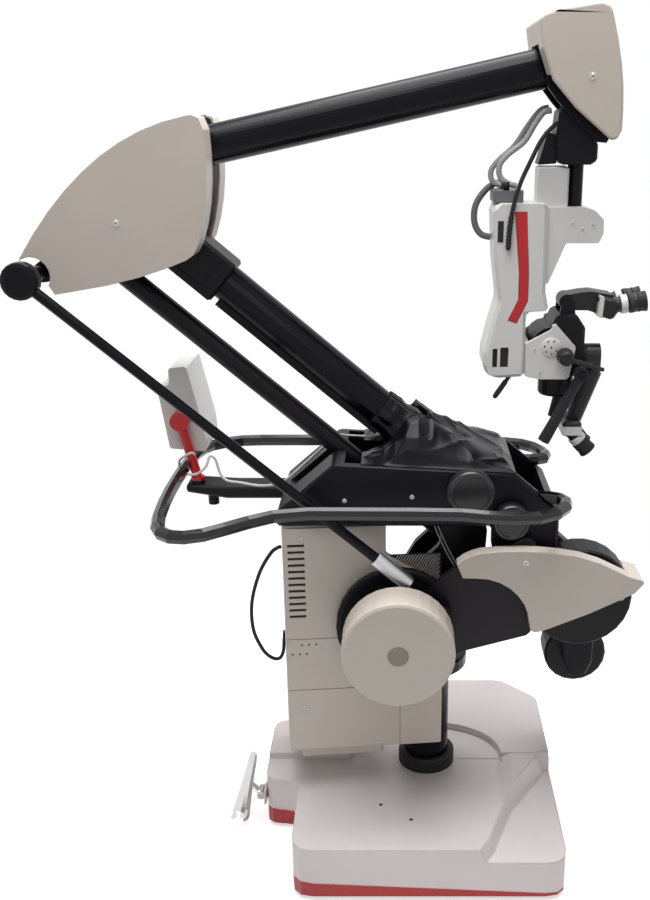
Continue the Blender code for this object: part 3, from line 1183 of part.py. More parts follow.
def make_cables():
    """Two hoses and two cables that all pass through one gathering clip above the carrier."""
    hoses = [([(0.214, -0.020, 1.722), (0.207, -0.020, 1.708), (0.190, -0.022, 1.684), (0.166, -0.024, 1.656),
               (0.148, -0.024, 1.626), (0.148, -0.024, 1.602), (0.160, -0.022, 1.597), (0.196, -0.016, 1.606),
               (0.2222, -0.014, 1.610)], 0.0065),
             ([(0.212, 0.018, 1.724), (0.203, 0.018, 1.706), (0.184, 0.020, 1.672), (0.152, 0.022, 1.640),
               (0.134, 0.022, 1.616), (0.140, 0.020, 1.598), (0.164, 0.018, 1.596), (0.196, 0.015, 1.601),
               (0.2222, 0.014, 1.603)], 0.0065),
             ([(0.220, -0.056, 1.704), (0.214, -0.057, 1.688), (0.203, -0.059, 1.650), (0.186, -0.062, 1.610),
               (0.172, -0.066, 1.560), (0.167, -0.0655, 1.510), (0.166, -0.0650, 1.470)], 0.0042),
             ([(0.158, 0.035, 1.594), (0.134, 0.036, 1.600), (0.105, 0.034, 1.580), (0.095, 0.030, 1.535),
               (0.105, 0.028, 1.495), (0.1305, 0.025, 1.488)], 0.0075)]
    solids = [tube(smooth_route(route, 14), radius, 1) for route, radius in hoses]
    clip = softened(box((0.128, -0.066, 1.5665), (0.196, 0.044, 1.610)), 0.006, 1)
    place("head_cables", union(clip, *solids), "carrier", "grey")


def make_fork():
    half = FORK_OUTER - 0.001
    base = box((CARRIER_RIGHT + GAP * 2, -half, 1.197), (0.2165, half, 1.269))
    sides = []
    shape = [(CARRIER_RIGHT + GAP * 2, 1.196), (CARRIER_RIGHT + GAP * 2, 1.270), (0.262, 1.300), (0.266, 1.318),
             (0.278, 1.304), (0.316, 1.262), (0.303, 1.190), (0.240, 1.190)]
    for side in (-1, 1):
        near, far = sorted((side * FORK_INNER, side * FORK_OUTER))
        sides.append(softened(slab(rounded_corners(shape, 0.006, 1), near, far), 0.0015, 1))
    bore = pin(SCOPE_PIVOT, -0.2, 0.2, 0.012 + RUNNING, 16)
    shaft = cylinder((0.148, 0, LATERAL_AXIS_Z), (0.212, 0, LATERAL_AXIS_Z), 0.014, 14)
    stop = pin(KNOB_PIVOT, -FORK_OUTER - 0.012, -FORK_OUTER + 0.004, 0.005, 10)
    place("tilt_fork", union(cut(union(base, sides[0], sides[1]), bore), shaft, stop), "fork", "white")
    face = FORK_OUTER + GAP
    profile = [(0.0, face + 0.042), (0.0125, face + 0.042), (0.016, face + 0.038), (0.019, face + 0.010),
               (0.017, face), (0.0, face)]
    knob = turned(profile, (KNOB_PIVOT[0], 0.0, KNOB_PIVOT[1]), (0, -1, 0), 16)
    handle = cylinder((KNOB_PIVOT[0] + 0.004, -face - 0.036, KNOB_PIVOT[1] - 0.001),
                      (KNOB_PIVOT[0] + 0.080, -face - 0.037, KNOB_PIVOT[1] - 0.024), 0.0060, 10, 0.0045)
    bore = pin(KNOB_PIVOT, -FORK_OUTER - 0.0125, 0.0, 0.005 + RUNNING, 10)
    place("tilt_knob", cut(union(knob, handle), bore), "knob_3", "satin_black")


def make_scope():
    drum = pin(SCOPE_PIVOT, -SCOPE_HALF, SCOPE_HALF, 0.040, 16)
    shape = [(0.256, 1.196), (0.320, 1.192), (0.338, 1.206), (0.338, 1.300), (0.318, 1.330), (0.276, 1.330),
             (0.262, 1.300)]
    block = softened(slab(shape, -SCOPE_HALF, SCOPE_HALF), 0.006, 1, 40)
    trunnion = pin(SCOPE_PIVOT, -FORK_OUTER, FORK_OUTER, 0.012, 16)
    nose = cylinder((OBJECTIVE_CENTRE + 0.014, 0, 1.200), (OBJECTIVE_CENTRE + 0.014, 0, 1.1880), 0.034, 20)
    ears = []
    for side in (-1, 1):
        near, far = sorted((side * 0.0306, side * 0.0400))
        ears.append(slab(capsule((0.300, 1.318), BINO_PIVOT, 0.018, 0.014, 5), near, far))
    bino_pin = pin(BINO_PIVOT, -0.035, 0.035, 0.006, 10)
    stubs = [pin(GRIP_PIVOT, -0.100, -SCOPE_HALF + 0.005, 0.009, 12), pin(GRIP_PIVOT, SCOPE_HALF - 0.005, 0.100, 0.009, 12)]
    mount = cylinder((0.336, *ASSIST_AXIS), (0.344, *ASSIST_AXIS), 0.026, 16)
    spigot = cylinder((0.340, *ASSIST_AXIS), (0.352, *ASSIST_AXIS), 0.010, 12)
    body = union(drum, block, trunnion, nose, *ears, bino_pin, *stubs, mount, spigot)
    place("microscope_body", body, "scope", "satin_black")
    x = OBJECTIVE_CENTRE + 0.014
    r = OBJECTIVE_RADIUS
    profile = [(0.024, 1.1877), (r - 0.002, 1.1877), (r, 1.184), (r, 1.146), (r - 0.004, 1.140), (0.030, 1.140),
               (0.030, 1.150), (0.024, 1.150), (0.024, 1.1877)]
    place("objective_ring", turned(profile, (x, 0, 0), (0, 0, 1), 20), "scope", "satin_black")
    lens = cylinder((x, 0, 1.1435), (x, 0, 1.1495), 0.0295, 20)
    place("objective_lens", lens, "scope", "glass")


def eyepiece(start, end, radius):
    start = Vector(start)
    line = Vector(end) - start
    length = line.length
    profile = [(0.0, length), (radius * 0.95, length), (radius * 1.05, length - 0.004), (radius * 1.05, length - 0.030),
               (radius * 0.85, length - 0.034), (radius * 0.85, 0.0), (0.0, 0.0)]
    return turned(profile, start, line.normalized(), 14)


def make_binoculars():
    shape = circle_points(BINO_PIVOT, 0.018, 12, 75, 285, closed=True)
    shape += [(0.345, 1.3345), (0.396, 1.318), (0.412, 1.340), (0.398, 1.368), (0.352, 1.376), (0.330, 1.374)]
    prism = slab(shape, -0.0290, 0.0290)
    wide = softened(slab([(0.366, 1.368), (0.400, 1.362), (0.414, 1.341), (0.397, 1.316), (0.366, 1.325)],
                         -0.050, 0.050), 0.005, 1, 40)
    eyes = [eyepiece((0.392, side * 0.031, 1.345), (0.470, side * 0.031, 1.356), 0.020) for side in (-1, 1)]
    bore = pin(BINO_PIVOT, -0.1, 0.1, 0.006 + RUNNING, 10)
    place("binocular_main", cut(union(prism, wide, *eyes), bore), "bino", "satin_black")
    y, z = ASSIST_AXIS
    disc = cylinder((0.3443, y, z), (0.376, y, z), 0.026, 20)
    neck = cylinder((0.3635, y, z), (0.3635, y, 1.192), 0.0175, 16)
    elbow = cylinder((0.3635, y, 1.200), (0.322, y, 1.078), 0.021, 16, 0.018)
    bridge = softened(box((0.296, y - 0.048, 1.058), (0.338, y + 0.048, 1.094)), 0.006, 1)
    eyes = [eyepiece((0.314, y + side * 0.029, 1.070), (0.357, y + side * 0.029, 1.022), 0.018) for side in (-1, 1)]
    bore = cylinder((0.3, y, z), (0.3525, y, z), 0.010 + RUNNING, 12)
    place("binocular_assist", cut(union(disc, neck, elbow, bridge, *eyes), bore), "assist", "satin_black")


def make_grips():
    x, z = GRIP_PIVOT
    for side, name, foot in ((-1, "near", (0.252, 1.052)), (1, "far", (0.298, 1.060))):
        near, far = sorted((side * 0.0755, side * 0.098))
        hub = pin(GRIP_PIVOT, near, far, 0.0165, 14)
        y = side * 0.087
        stick = cylinder((x - 0.004, y, z - 0.010), (foot[0], y, foot[1]), 0.0105, 16, 0.0135)
        bore = pin(GRIP_PIVOT, *sorted((side * 0.05, side * 0.11)), 0.009 + RUNNING, 12)
        place("hand_grip_" + name, cut(union(hub, stick), bore), "grip_" + name, "rubber")


def build():
    add_bodies()
    make_base()
    make_frame()
    make_castors()
    make_pedal()
    make_column()
    make_column_head()
    make_chassis()
    make_boot()
    make_rail()
    make_knobs()
    make_cabinet()
    make_side_cable()
    make_monitor()
    make_boom()
    make_weights()
    make_wing()
    make_link()
    make_elbow_bracket()
    make_arm()
    make_arm_end()
    make_rod()
    make_lever()
    make_head()
    make_carrier()
    make_cables()
    make_fork()
    make_scope()
    make_binoculars()
    make_grips()


build()
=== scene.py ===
import math

import bpy
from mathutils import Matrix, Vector, noise


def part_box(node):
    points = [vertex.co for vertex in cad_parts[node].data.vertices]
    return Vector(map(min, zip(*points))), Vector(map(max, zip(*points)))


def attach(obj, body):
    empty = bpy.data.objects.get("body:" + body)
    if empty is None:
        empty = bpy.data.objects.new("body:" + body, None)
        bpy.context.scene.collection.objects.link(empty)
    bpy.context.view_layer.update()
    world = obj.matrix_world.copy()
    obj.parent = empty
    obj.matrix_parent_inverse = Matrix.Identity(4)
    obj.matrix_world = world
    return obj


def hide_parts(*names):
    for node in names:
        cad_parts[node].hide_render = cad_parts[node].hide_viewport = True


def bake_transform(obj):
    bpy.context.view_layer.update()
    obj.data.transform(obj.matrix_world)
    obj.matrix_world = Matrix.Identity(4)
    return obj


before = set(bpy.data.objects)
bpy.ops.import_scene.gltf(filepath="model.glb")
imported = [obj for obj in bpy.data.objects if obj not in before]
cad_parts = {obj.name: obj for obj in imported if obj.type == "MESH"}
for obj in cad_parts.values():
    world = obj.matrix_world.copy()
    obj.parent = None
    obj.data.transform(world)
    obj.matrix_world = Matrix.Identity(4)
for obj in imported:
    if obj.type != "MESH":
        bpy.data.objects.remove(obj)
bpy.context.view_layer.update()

# The part, in metres and radians. COLUMN is the column's foot in the frame, and spot() counts from it.
COLUMN = Vector((0.2004, 0.0103, -0.033))
BOOM_PIVOT = (0.213, 0.8265)
BOOM_SLOPE = math.radians(139.5)
BOOM_LENGTH = 1.138
TAIL = COLUMN + Vector((-0.83734, -0.182, 1.42257))
ROD_END = COLUMN + Vector((0.028, -0.182, 0.6835))
FRONT_TOP = 0.173
CARRIER_HALF = 0.060
CABINET_YAW = math.radians(5.7)
CABINET_OUT = (math.sin(CABINET_YAW), -math.cos(CABINET_YAW), 0)
NEAR = (0, -1, 0)
FAR = (0, 1, 0)
UP = (0, 0, 1)

# The photograph's camera, in pixels of its 650 by 900 frame
CAMERA_AT = COLUMN + Vector((-0.067, -2.30, 1.75))
CAMERA_DOWN = math.radians(18.0)
FOCAL_PIXELS = 1042.0
SHIFT_PIXELS = 75.0
PHOTO_HEIGHT = 900.0
SENSOR = 36.0

# The stage: light strengths, the floor and where it fades to white, and each lamp's place, aim, size and watts
WORLD_LIGHT = 0.24
FLOOR_GLOW = 0.62
FLOOR_BOUNCE = 0.05
FLOOR_CORNERS = ((-14, -8, 0), (14, -8, 0), (14, 18, 0), (-14, 18, 0))
FLOOR_FADE = (0.75, 2.2)
LAMPS = (
    ("key", (-0.7, -1.5, 4.2), (0.0, 0.0, 1.2), (1.6, 1.6), 40.0),
    ("strip", (0.9, -2.4, 3.4), (0.2, 0.0, 1.3), (0.3, 2.2), 6.0),
    ("top", (0.2, 0.2, 4.2), (0.1, 0.0, 0.5), (2.8, 2.8), 185.0),
)

# The boom's cover, from above: BOOT_TOP is its crown and BOOT_SEAT the chassis line under it, as (x, z)
BOOT_TOP = ((-0.156, 1.010), (-0.105, 1.032), (-0.078, 1.056), (-0.052, 1.098), (-0.026, 1.110), (0.010, 1.088),
            (0.060, 1.056), (0.110, 1.036), (0.189, 1.002))
BOOT_SEAT = ((-0.343, 1.018), (-0.214, 1.0143), (0.032, 1.0003), (0.190, 0.9903))
BOOT_START = -0.153
BOOT_END = 0.189
BOOT_HALF = 0.134
BOOT_CLEAR = 0.002
BOOT_FOLDS_X = -0.055
BOOT_GRID = (150, 110)
VINYL_THICKNESS = 0.0012
NECK_START = 0.300
NECK_LENGTH = 0.132
NECK_RADIUS = 0.0462

# The grille beside the cabinet
GRILLE_ENDS = (-0.1085, 0.0180)
GRILLE_FOOT = 0.690
GRILLE_HEIGHT = 0.096
SLAT_ENDS = (-0.1070, 0.0130)
SLAT_HEIGHTS = (0.692, 0.784)
SLAT_START = -0.140
SLAT_PITCH = 0.0068
SLAT_LEAN = 0.62
SLAT_COUNT = 26


# Materials

def link(tree, a, b):
    tree.links.new(a, b)


def add_noise(tree, coords, scale, detail):
    texture = tree.nodes.new("ShaderNodeTexNoise")
    texture.inputs["Scale"].default_value = scale
    texture.inputs["Detail"].default_value = detail
    link(tree, coords.outputs["Object"], texture.inputs["Vector"])
    return texture


def finish(name, colour, rough, metal=0.0, coat=0.0, grain=120.0, bump=0.03, mottle=0.06, edge=0.0008,
           spec=0.5, rough_spread=0.08):
    """A paint, plastic or metal with slight mottling, a fine grain and softened edges."""
    material = bpy.data.materials.new(name)
    material.use_nodes = True
    tree = material.node_tree
    shader = tree.nodes["Principled BSDF"]
    shader.inputs["Metallic"].default_value = metal
    shader.inputs["Coat Weight"].default_value = coat
    shader.inputs["Coat Roughness"].default_value = 0.06
    shader.inputs["Specular IOR Level"].default_value = spec
    coords = tree.nodes.new("ShaderNodeTexCoord")
    large = add_noise(tree, coords, 7.0, 4.0)
    fine = add_noise(tree, coords, grain, 3.0)
    ramp = tree.nodes.new("ShaderNodeValToRGB")
    ramp.color_ramp.elements[0].position = 0.3
    ramp.color_ramp.elements[1].position = 0.7
    ramp.color_ramp.elements[0].color = (*[c * (1 - mottle) for c in colour], 1.0)
    ramp.color_ramp.elements[1].color = (*[min(1.0, c * (1 + mottle)) for c in colour], 1.0)
    link(tree, large.outputs["Fac"], ramp.inputs["Fac"])
    link(tree, ramp.outputs["Color"], shader.inputs["Base Color"])
    spread = tree.nodes.new("ShaderNodeMapRange")
    spread.inputs["To Min"].default_value = max(0.02, rough - rough_spread)
    spread.inputs["To Max"].default_value = min(1.0, rough + rough_spread)
    link(tree, large.outputs["Fac"], spread.inputs["Value"])
    link(tree, spread.outputs["Result"], shader.inputs["Roughness"])
    relief = tree.nodes.new("ShaderNodeBump")
    relief.inputs["Strength"].default_value = bump
    relief.inputs["Distance"].default_value = 0.002
    link(tree, fine.outputs["Fac"], relief.inputs["Height"])
    if edge:
        soft = tree.nodes.new("ShaderNodeBevel")
        soft.samples = 6
        soft.inputs["Radius"].default_value = edge
        link(tree, soft.outputs["Normal"], relief.inputs["Normal"])
    link(tree, relief.outputs["Normal"], shader.inputs["Normal"])
    return material


IVORY = finish("ivory_moulding", (0.60, 0.535, 0.475), 0.42,
               grain=500.0, bump=0.10, mottle=0.025, edge=0.0015)
BASE_WHITE = finish("base_moulding", (0.74, 0.68, 0.675), 0.36,
                    grain=400.0, bump=0.08, mottle=0.03, edge=0.009)
SKIRT_RED = finish("skirt_moulding", (0.42, 0.012, 0.012), 0.36, grain=300.0, bump=0.08, mottle=0.08)
TRIM_RED = finish("trim_moulding", (0.55, 0.008, 0.014), 0.30, grain=300.0, bump=0.05, mottle=0.06)
WHITE = finish("white_housing_paint", (0.74, 0.72, 0.70), 0.33, grain=450.0, bump=0.06, mottle=0.03)
GLOSS = finish("gloss_black_paint", (0.0030, 0.0028, 0.0060), 0.20,
               grain=90.0, bump=0.015, mottle=0.2, spec=0.13, rough_spread=0.05)
SATIN = finish("satin_black_paint", (0.0060, 0.0050, 0.0075), 0.38,
               grain=600.0, bump=0.12, mottle=0.2, spec=0.14)
WEIGHT = finish("cast_black_paint", (0.0070, 0.0062, 0.0070), 0.48,
                grain=260.0, bump=0.20, mottle=0.2, spec=0.2)
RUBBER = finish("moulded_rubber", (0.013, 0.012, 0.014), 0.60,
                grain=500.0, bump=0.12, mottle=0.15, spec=0.25)
RAIL = finish("rail_lacquer", (0.0035, 0.0030, 0.0050), 0.17,
              grain=90.0, bump=0.015, mottle=0.2, spec=0.45, rough_spread=0.05)
VINYL = finish("boot_vinyl", (0.0042, 0.0038, 0.0060), 0.27,
               grain=900.0, bump=0.15, mottle=0.25, edge=0.0, spec=0.16)
CHROME = finish("chrome_plate", (0.72, 0.71, 0.70), 0.16, metal=1.0, grain=200.0, bump=0.02, mottle=0.05)
ALLOY = finish("machined_alloy", (0.50, 0.50, 0.52), 0.34, metal=1.0, grain=300.0, bump=0.06, mottle=0.06)
GREY = finish("grey_sheath", (0.26, 0.26, 0.28), 0.45, grain=300.0, bump=0.06, mottle=0.08)
GREY_PAINT = finish("grey_paint", (0.30, 0.29, 0.32), 0.42, metal=0.2, grain=400.0, bump=0.08, mottle=0.05)
LEVER_PAINT = finish("lever_paint", (0.0085, 0.0062, 0.0095), 0.40,
                     grain=400.0, bump=0.10, mottle=0.2, spec=0.2)
IRON = finish("cast_iron_paint", (0.03, 0.03, 0.032), 0.60, grain=200.0, bump=0.3, mottle=0.2)
TAUPE = finish("plug_plastic", (0.26, 0.225, 0.18), 0.45, grain=300.0, bump=0.08, mottle=0.06)
KNOB_FACE = finish("knob_face", (0.010, 0.009, 0.011), 0.28, grain=200.0, bump=0.05, mottle=0.2, spec=0.5)
DARK_PLASTIC = finish("knob_plastic", (0.0080, 0.0078, 0.0085), 0.40,
                      grain=400.0, bump=0.10, mottle=0.2, spec=0.28)
WHITE_SHEATH = finish("white_sheath", (0.66, 0.64, 0.60), 0.40, grain=300.0, bump=0.05, mottle=0.05)
GREY_LIGHT = finish("pale_grey_hose", (0.36, 0.36, 0.38), 0.42, grain=300.0, bump=0.06, mottle=0.08)
GREY_DARK = finish("dark_grey_hose", (0.13, 0.13, 0.145), 0.45, grain=300.0, bump=0.08, mottle=0.1)
# Painted shade: a near-black fill put in slots, vents, screw recesses and behind the grille slats, where the real
# openings are dark only from shade; the small bolts and dots take it too.
DARK_PARTS_AND_PAINTED_SHADE = finish("dark_parts_and_painted_shade", (0.010, 0.010, 0.010), 0.70,
                  grain=200.0, bump=0.05, mottle=0.2, edge=0.0)
LENS = finish("coated_lens", (0.06, 0.07, 0.12), 0.06, coat=1.0, grain=60.0, bump=0.0, mottle=0.2, edge=0.0)
SCREEN = finish("display_screen", (0.012, 0.014, 0.018), 0.10,
                grain=60.0, bump=0.0, mottle=0.2, edge=0.0, spec=0.5)

FINISH_OF = {
    "ballast_frame": IRON, "base_cover": BASE_WHITE, "base_skirt": SKIRT_RED, "pedal_bracket": BASE_WHITE,
    "column_post": GLOSS, "column_collar": RUBBER, "brake_pedal": CHROME, "column_head": SATIN,
    "chassis_beam": SATIN, "boom_boot": VINYL, "handle_rail": RAIL, "cabinet_shell": IVORY,
    "cabinet_panel": IVORY, "side_cable": RUBBER, "monitor_arm": SATIN, "balance_knob_1": DARK_PLASTIC,
    "balance_knob_2": DARK_PLASTIC, "monitor_yoke": TRIM_RED, "monitor_case": WHITE, "boom_root": SATIN,
    "boom_tube": GLOSS, "boom_knuckle": SATIN, "boom_weight_large": WEIGHT, "boom_weight_small": WEIGHT,
    "wing_cover": IVORY, "parallel_link": SATIN, "balance_lever": LEVER_PAINT, "counterweight_drum": SATIN,
    "counterweight_cap": IVORY, "elbow_bracket": ALLOY, "arm_tube": GLOSS, "arm_end": SATIN,
    "elbow_spine": SATIN, "elbow_cover_near": IVORY, "elbow_cover_far": IVORY, "head_cover_near": IVORY,
    "head_cover_far": IVORY, "rod_eye": ALLOY, "control_rod": GLOSS, "head_block": SATIN,
    "carrier_arm": WHITE, "carrier_strip": TRIM_RED, "head_cables": GREY, "tilt_fork": WHITE,
    "tilt_knob": DARK_PLASTIC, "microscope_body": SATIN, "objective_ring": SATIN, "objective_lens": LENS,
    "binocular_main": DARK_PLASTIC, "binocular_assist": DARK_PLASTIC, "hand_grip_near": RUBBER,
    "hand_grip_far": RUBBER,
}
for corner in ("front_left", "front_right", "rear_left", "rear_right"):
    FINISH_OF["castor_fork_" + corner] = GREY_PAINT
    FINISH_OF["castor_wheel_" + corner] = RUBBER

# The angle up to which a node's edges are shaded round, where it isn't PLAIN_ANGLE
PLAIN_ANGLE = 32.0
SOFT_ANGLE = {
    "handle_rail": 60.0, "arm_tube": 40.0, "boom_tube": 40.0, "control_rod": 50.0, "monitor_yoke": 40.0,
    "base_cover": 40.0, "hand_grip_near": 50.0, "hand_grip_far": 50.0, "elbow_cover_near": 52.0,
    "elbow_cover_far": 52.0, "head_cover_near": 52.0, "head_cover_far": 52.0, "wing_cover": 52.0,
    "carrier_arm": 40.0,
}

for node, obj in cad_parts.items():
    obj.data.materials.clear()
    obj.data.materials.append(FINISH_OF[node])
    obj.data.shade_smooth()
    obj.data.set_sharp_from_angle(angle=math.radians(SOFT_ANGLE.get(node, PLAIN_ANGLE)))


# Stage, light and camera

def area(name, place, aim, size, power):
    """A soft rectangular lamp."""
    data = bpy.data.lights.new(name, "AREA")
    data.shape = "RECTANGLE"
    data.size = size[0]
    data.size_y = size[1]
    data.energy = power
    lamp = bpy.data.objects.new(name, data)
    bpy.context.scene.collection.objects.link(lamp)
    lamp.location = place
    lamp.rotation_euler = (Vector(aim) - Vector(place)).to_track_quat("-Z", "Y").to_euler()


def by_ray(tree, seen, cast):
    """One value for rays that show the white surround (camera, glossy, transmission), one for the rest."""
    path = tree.nodes.new("ShaderNodeLightPath")
    first = tree.nodes.new("ShaderNodeMath")
    first.operation = "MAXIMUM"
    link(tree, path.outputs["Is Camera Ray"], first.inputs[0])
    link(tree, path.outputs["Is Glossy Ray"], first.inputs[1])
    second = tree.nodes.new("ShaderNodeMath")
    second.operation = "MAXIMUM"
    link(tree, first.outputs["Value"], second.inputs[0])
    link(tree, path.outputs["Is Transmission Ray"], second.inputs[1])
    value = tree.nodes.new("ShaderNodeMapRange")
    value.inputs["To Min"].default_value = cast
    value.inputs["To Max"].default_value = seen
    link(tree, second.outputs["Value"], value.inputs["Value"])
    return value.outputs["Result"]


def floor_finish():
    """A pale floor that keeps the contact shadow and fades into the white surround."""
    material = bpy.data.materials.new("studio_floor")
    material.use_nodes = True
    tree = material.node_tree
    shader = tree.nodes["Principled BSDF"]
    out = tree.nodes["Material Output"]
    coords = tree.nodes.new("ShaderNodeTexCoord")
    speckle = add_noise(tree, coords, 3.0, 2.0)
    ramp = tree.nodes.new("ShaderNodeValToRGB")
    ramp.color_ramp.elements[0].color = (0.78, 0.78, 0.78, 1.0)
    ramp.color_ramp.elements[1].color = (0.82, 0.82, 0.82, 1.0)
    link(tree, speckle.outputs["Fac"], ramp.inputs["Fac"])
    link(tree, ramp.outputs["Color"], shader.inputs["Base Color"])
    shader.inputs["Roughness"].default_value = 0.8
    shader.inputs["Specular IOR Level"].default_value = 0.1
    shader.inputs["Emission Color"].default_value = (1.0, 1.0, 1.0, 1.0)
    link(tree, by_ray(tree, FLOOR_GLOW, FLOOR_BOUNCE), shader.inputs["Emission Strength"])
    white = tree.nodes.new("ShaderNodeEmission")
    white.inputs["Color"].default_value = (1.0, 1.0, 1.0, 1.0)
    link(tree, by_ray(tree, 1.0, WORLD_LIGHT), white.inputs["Strength"])
    reach = tree.nodes.new("ShaderNodeVectorMath")
    reach.operation = "LENGTH"
    link(tree, coords.outputs["Object"], reach.inputs[0])
    fade = tree.nodes.new("ShaderNodeMapRange")
    fade.interpolation_type = "SMOOTHSTEP"
    fade.inputs["From Min"].default_value = FLOOR_FADE[0]
    fade.inputs["From Max"].default_value = FLOOR_FADE[1]
    link(tree, reach.outputs["Value"], fade.inputs["Value"])
    mix = tree.nodes.new("ShaderNodeMixShader")
    link(tree, fade.outputs["Result"], mix.inputs["Fac"])
    link(tree, shader.outputs["BSDF"], mix.inputs[1])
    link(tree, white.outputs["Emission"], mix.inputs[2])
    link(tree, mix.outputs["Shader"], out.inputs["Surface"])
    return material


def white_surround():
    world = bpy.data.worlds.new("studio")
    bpy.context.scene.world = world
    world.use_nodes = True
    tree = world.node_tree
    back = tree.nodes["Background"]
    back.inputs["Color"].default_value = (1.0, 1.0, 1.0, 1.0)
    link(tree, by_ray(tree, 1.0, WORLD_LIGHT), back.inputs["Strength"])


def make_stage():
    mesh = bpy.data.meshes.new("studio_floor")
    mesh.from_pydata(FLOOR_CORNERS, [], [(0, 1, 2, 3)])
    floor = bpy.data.objects.new("studio_floor", mesh)
    bpy.context.scene.collection.objects.link(floor)
    mesh.materials.append(floor_finish())
    white_surround()
    for lamp in LAMPS:
        area(*lamp)


def make_camera():
    data = bpy.data.cameras.new("photo_camera")
    data.sensor_fit = "AUTO"
    data.sensor_width = SENSOR
    data.lens = FOCAL_PIXELS / PHOTO_HEIGHT * SENSOR
    data.shift_x = -SHIFT_PIXELS / PHOTO_HEIGHT
    camera = bpy.data.objects.new("photo_camera", data)
    bpy.context.scene.collection.objects.link(camera)
    camera.location = CAMERA_AT
    camera.rotation_euler = (math.pi / 2 - CAMERA_DOWN, 0.0, 0.0)
    bpy.context.scene.camera = camera
    bpy.context.scene.view_settings.view_transform = "Standard"


# Places and shapes

def spot(x, y, z):
    return COLUMN + Vector((x, y, z))


def spots(route):
    return [spot(*place) for place in route]


def on_cabinet(x, y, z):
    """A point given square to the cabinet, which stands turned on the column."""
    c, s = math.cos(CABINET_YAW), math.sin(CABINET_YAW)
    return COLUMN + Vector((x * c - y * s, x * s + y * c, z))


def boom_point(distance, rise=0.0):
    """A point in the arm plane at a distance up the boom's centre line and a rise square to it."""
    c, s = math.cos(BOOM_SLOPE), math.sin(BOOM_SLOPE)
    return spot(BOOM_PIVOT[0] + distance * c - rise * s, 0.0, BOOM_PIVOT[1] + distance * s + rise * c)


def new_piece(name, points, faces, material, body=None, smooth=True, sharp=35.0):
    """An object in the scene from points and faces. Edges over the sharp angle, in degrees, stay sharp."""
    mesh = bpy.data.meshes.new(name)
    mesh.from_pydata([tuple(p) for p in points], [], faces)
    mesh.materials.append(material)
    if smooth:
        mesh.shade_smooth()
        mesh.set_sharp_from_angle(angle=math.radians(sharp))
    piece = bpy.data.objects.new(name, mesh)
    bpy.context.scene.collection.objects.link(piece)
    if body:
        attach(piece, body)
    return piece


def square_to(axis):
    """Two unit vectors square to an axis and to each other."""
    axis = Vector(axis).normalized()
    side = axis.orthogonal().normalized()
    return side, axis.cross(side)


def circle(centre, side, other, radius, steps):
    angles = [2 * math.pi * k / steps for k in range(steps)]
    return [centre + (side * math.cos(a) + other * math.sin(a)) * radius for a in angles]


def walls(rings, steps):
    """The faces between rings of points, where rings is the number of gaps."""
    faces = []
    for ring in range(rings):
        for k in range(steps):
            n = (k + 1) % steps
            faces.append((ring * steps + k, ring * steps + n, (ring + 1) * steps + n, (ring + 1) * steps + k))
    return faces


def caps(rings, steps):
    """The two end faces of such a stack of rings."""
    return [tuple(reversed(range(steps))), tuple(range(rings * steps, (rings + 1) * steps))]


def box_faces(base=0):
    """The faces of a box whose eight corners follow base, each axis in turn varying faster."""
    corners = ((0, 1, 3, 2), (4, 6, 7, 5), (0, 4, 5, 1), (2, 3, 7, 6), (0, 2, 6, 4), (1, 5, 7, 3))
    return [tuple(base + k for k in face) for face in corners]


def block(name, corner, span_x, span_y, span_z, material, body):
    """A box from a corner and three edge vectors."""
    span_x, span_y, span_z = Vector(span_x), Vector(span_y), Vector(span_z)
    points = []
    for i in (0, 1):
        for j in (0, 1):
            for k in (0, 1):
                points.append(corner + span_x * i + span_y * j + span_z * k)
    return new_piece(name, points, box_faces(), material, body, smooth=False)


def lathe(name, profile, centre, axis, material, body, steps=40):
    """A turned piece: profile holds (radius, distance along the axis) from one end to the other."""
    axis = Vector(axis).normalized()
    side, other = square_to(axis)
    points = []
    for radius, distance in profile:
        points += circle(centre + axis * distance, side, other, radius, steps)
    rings = len(profile) - 1
    return new_piece(name, points, walls(rings, steps) + caps(rings, steps), material, body)


def knurl(name, centre, axis, radius, length, ridges, material, body):
    """A ring with fine ridges along its length."""
    axis = Vector(axis).normalized()
    side, other = square_to(axis)
    steps = ridges * 4
    points = []
    for distance, scale in ((0.0, 0.94), (0.0015, 1.0), (length - 0.0015, 1.0), (length, 0.94)):
        for k in range(steps):
            a = 2 * math.pi * k / steps
            r = radius * scale - (0.0008 if k % 4 in (0, 1) else 0.0)
            points.append(centre + axis * distance + (side * math.cos(a) + other * math.sin(a)) * r)
    return new_piece(name, points, caps(3, steps) + walls(3, steps), material, body, sharp=25.0)


def screw(name, centre, axis, radius, body):
    """A domed screw head in a shallow washer ring, with a cross recess drawn as two dark bars of painted shade."""
    axis = Vector(axis).normalized()
    profile = [(radius * 1.5, -0.0005), (radius * 1.5, 0.0006), (radius * 1.15, 0.0009), (radius * 1.05, 0.0006),
               (radius, 0.0008), (radius * 0.95, 0.0022), (radius * 0.7, 0.0030), (radius * 0.3, 0.0032)]
    lathe(name, profile, centre, axis, ALLOY, body, 24)
    side, other = square_to(axis)
    bars = []
    faces = []
    for a, b in ((side, other), (other, side)):
        faces += box_faces(len(bars))
        for dx in (-1, 1):
            for dy in (-1, 1):
                for dz in (0.0026, 0.0034):
                    bars.append(centre + a * dx * radius * 0.62 + b * dy * radius * 0.14 + axis * dz)
    # The cross recess is two dark bars of painted shade.
    new_piece(name + "_recess", bars, faces, DARK_PARTS_AND_PAINTED_SHADE, body, smooth=False)


# Cords

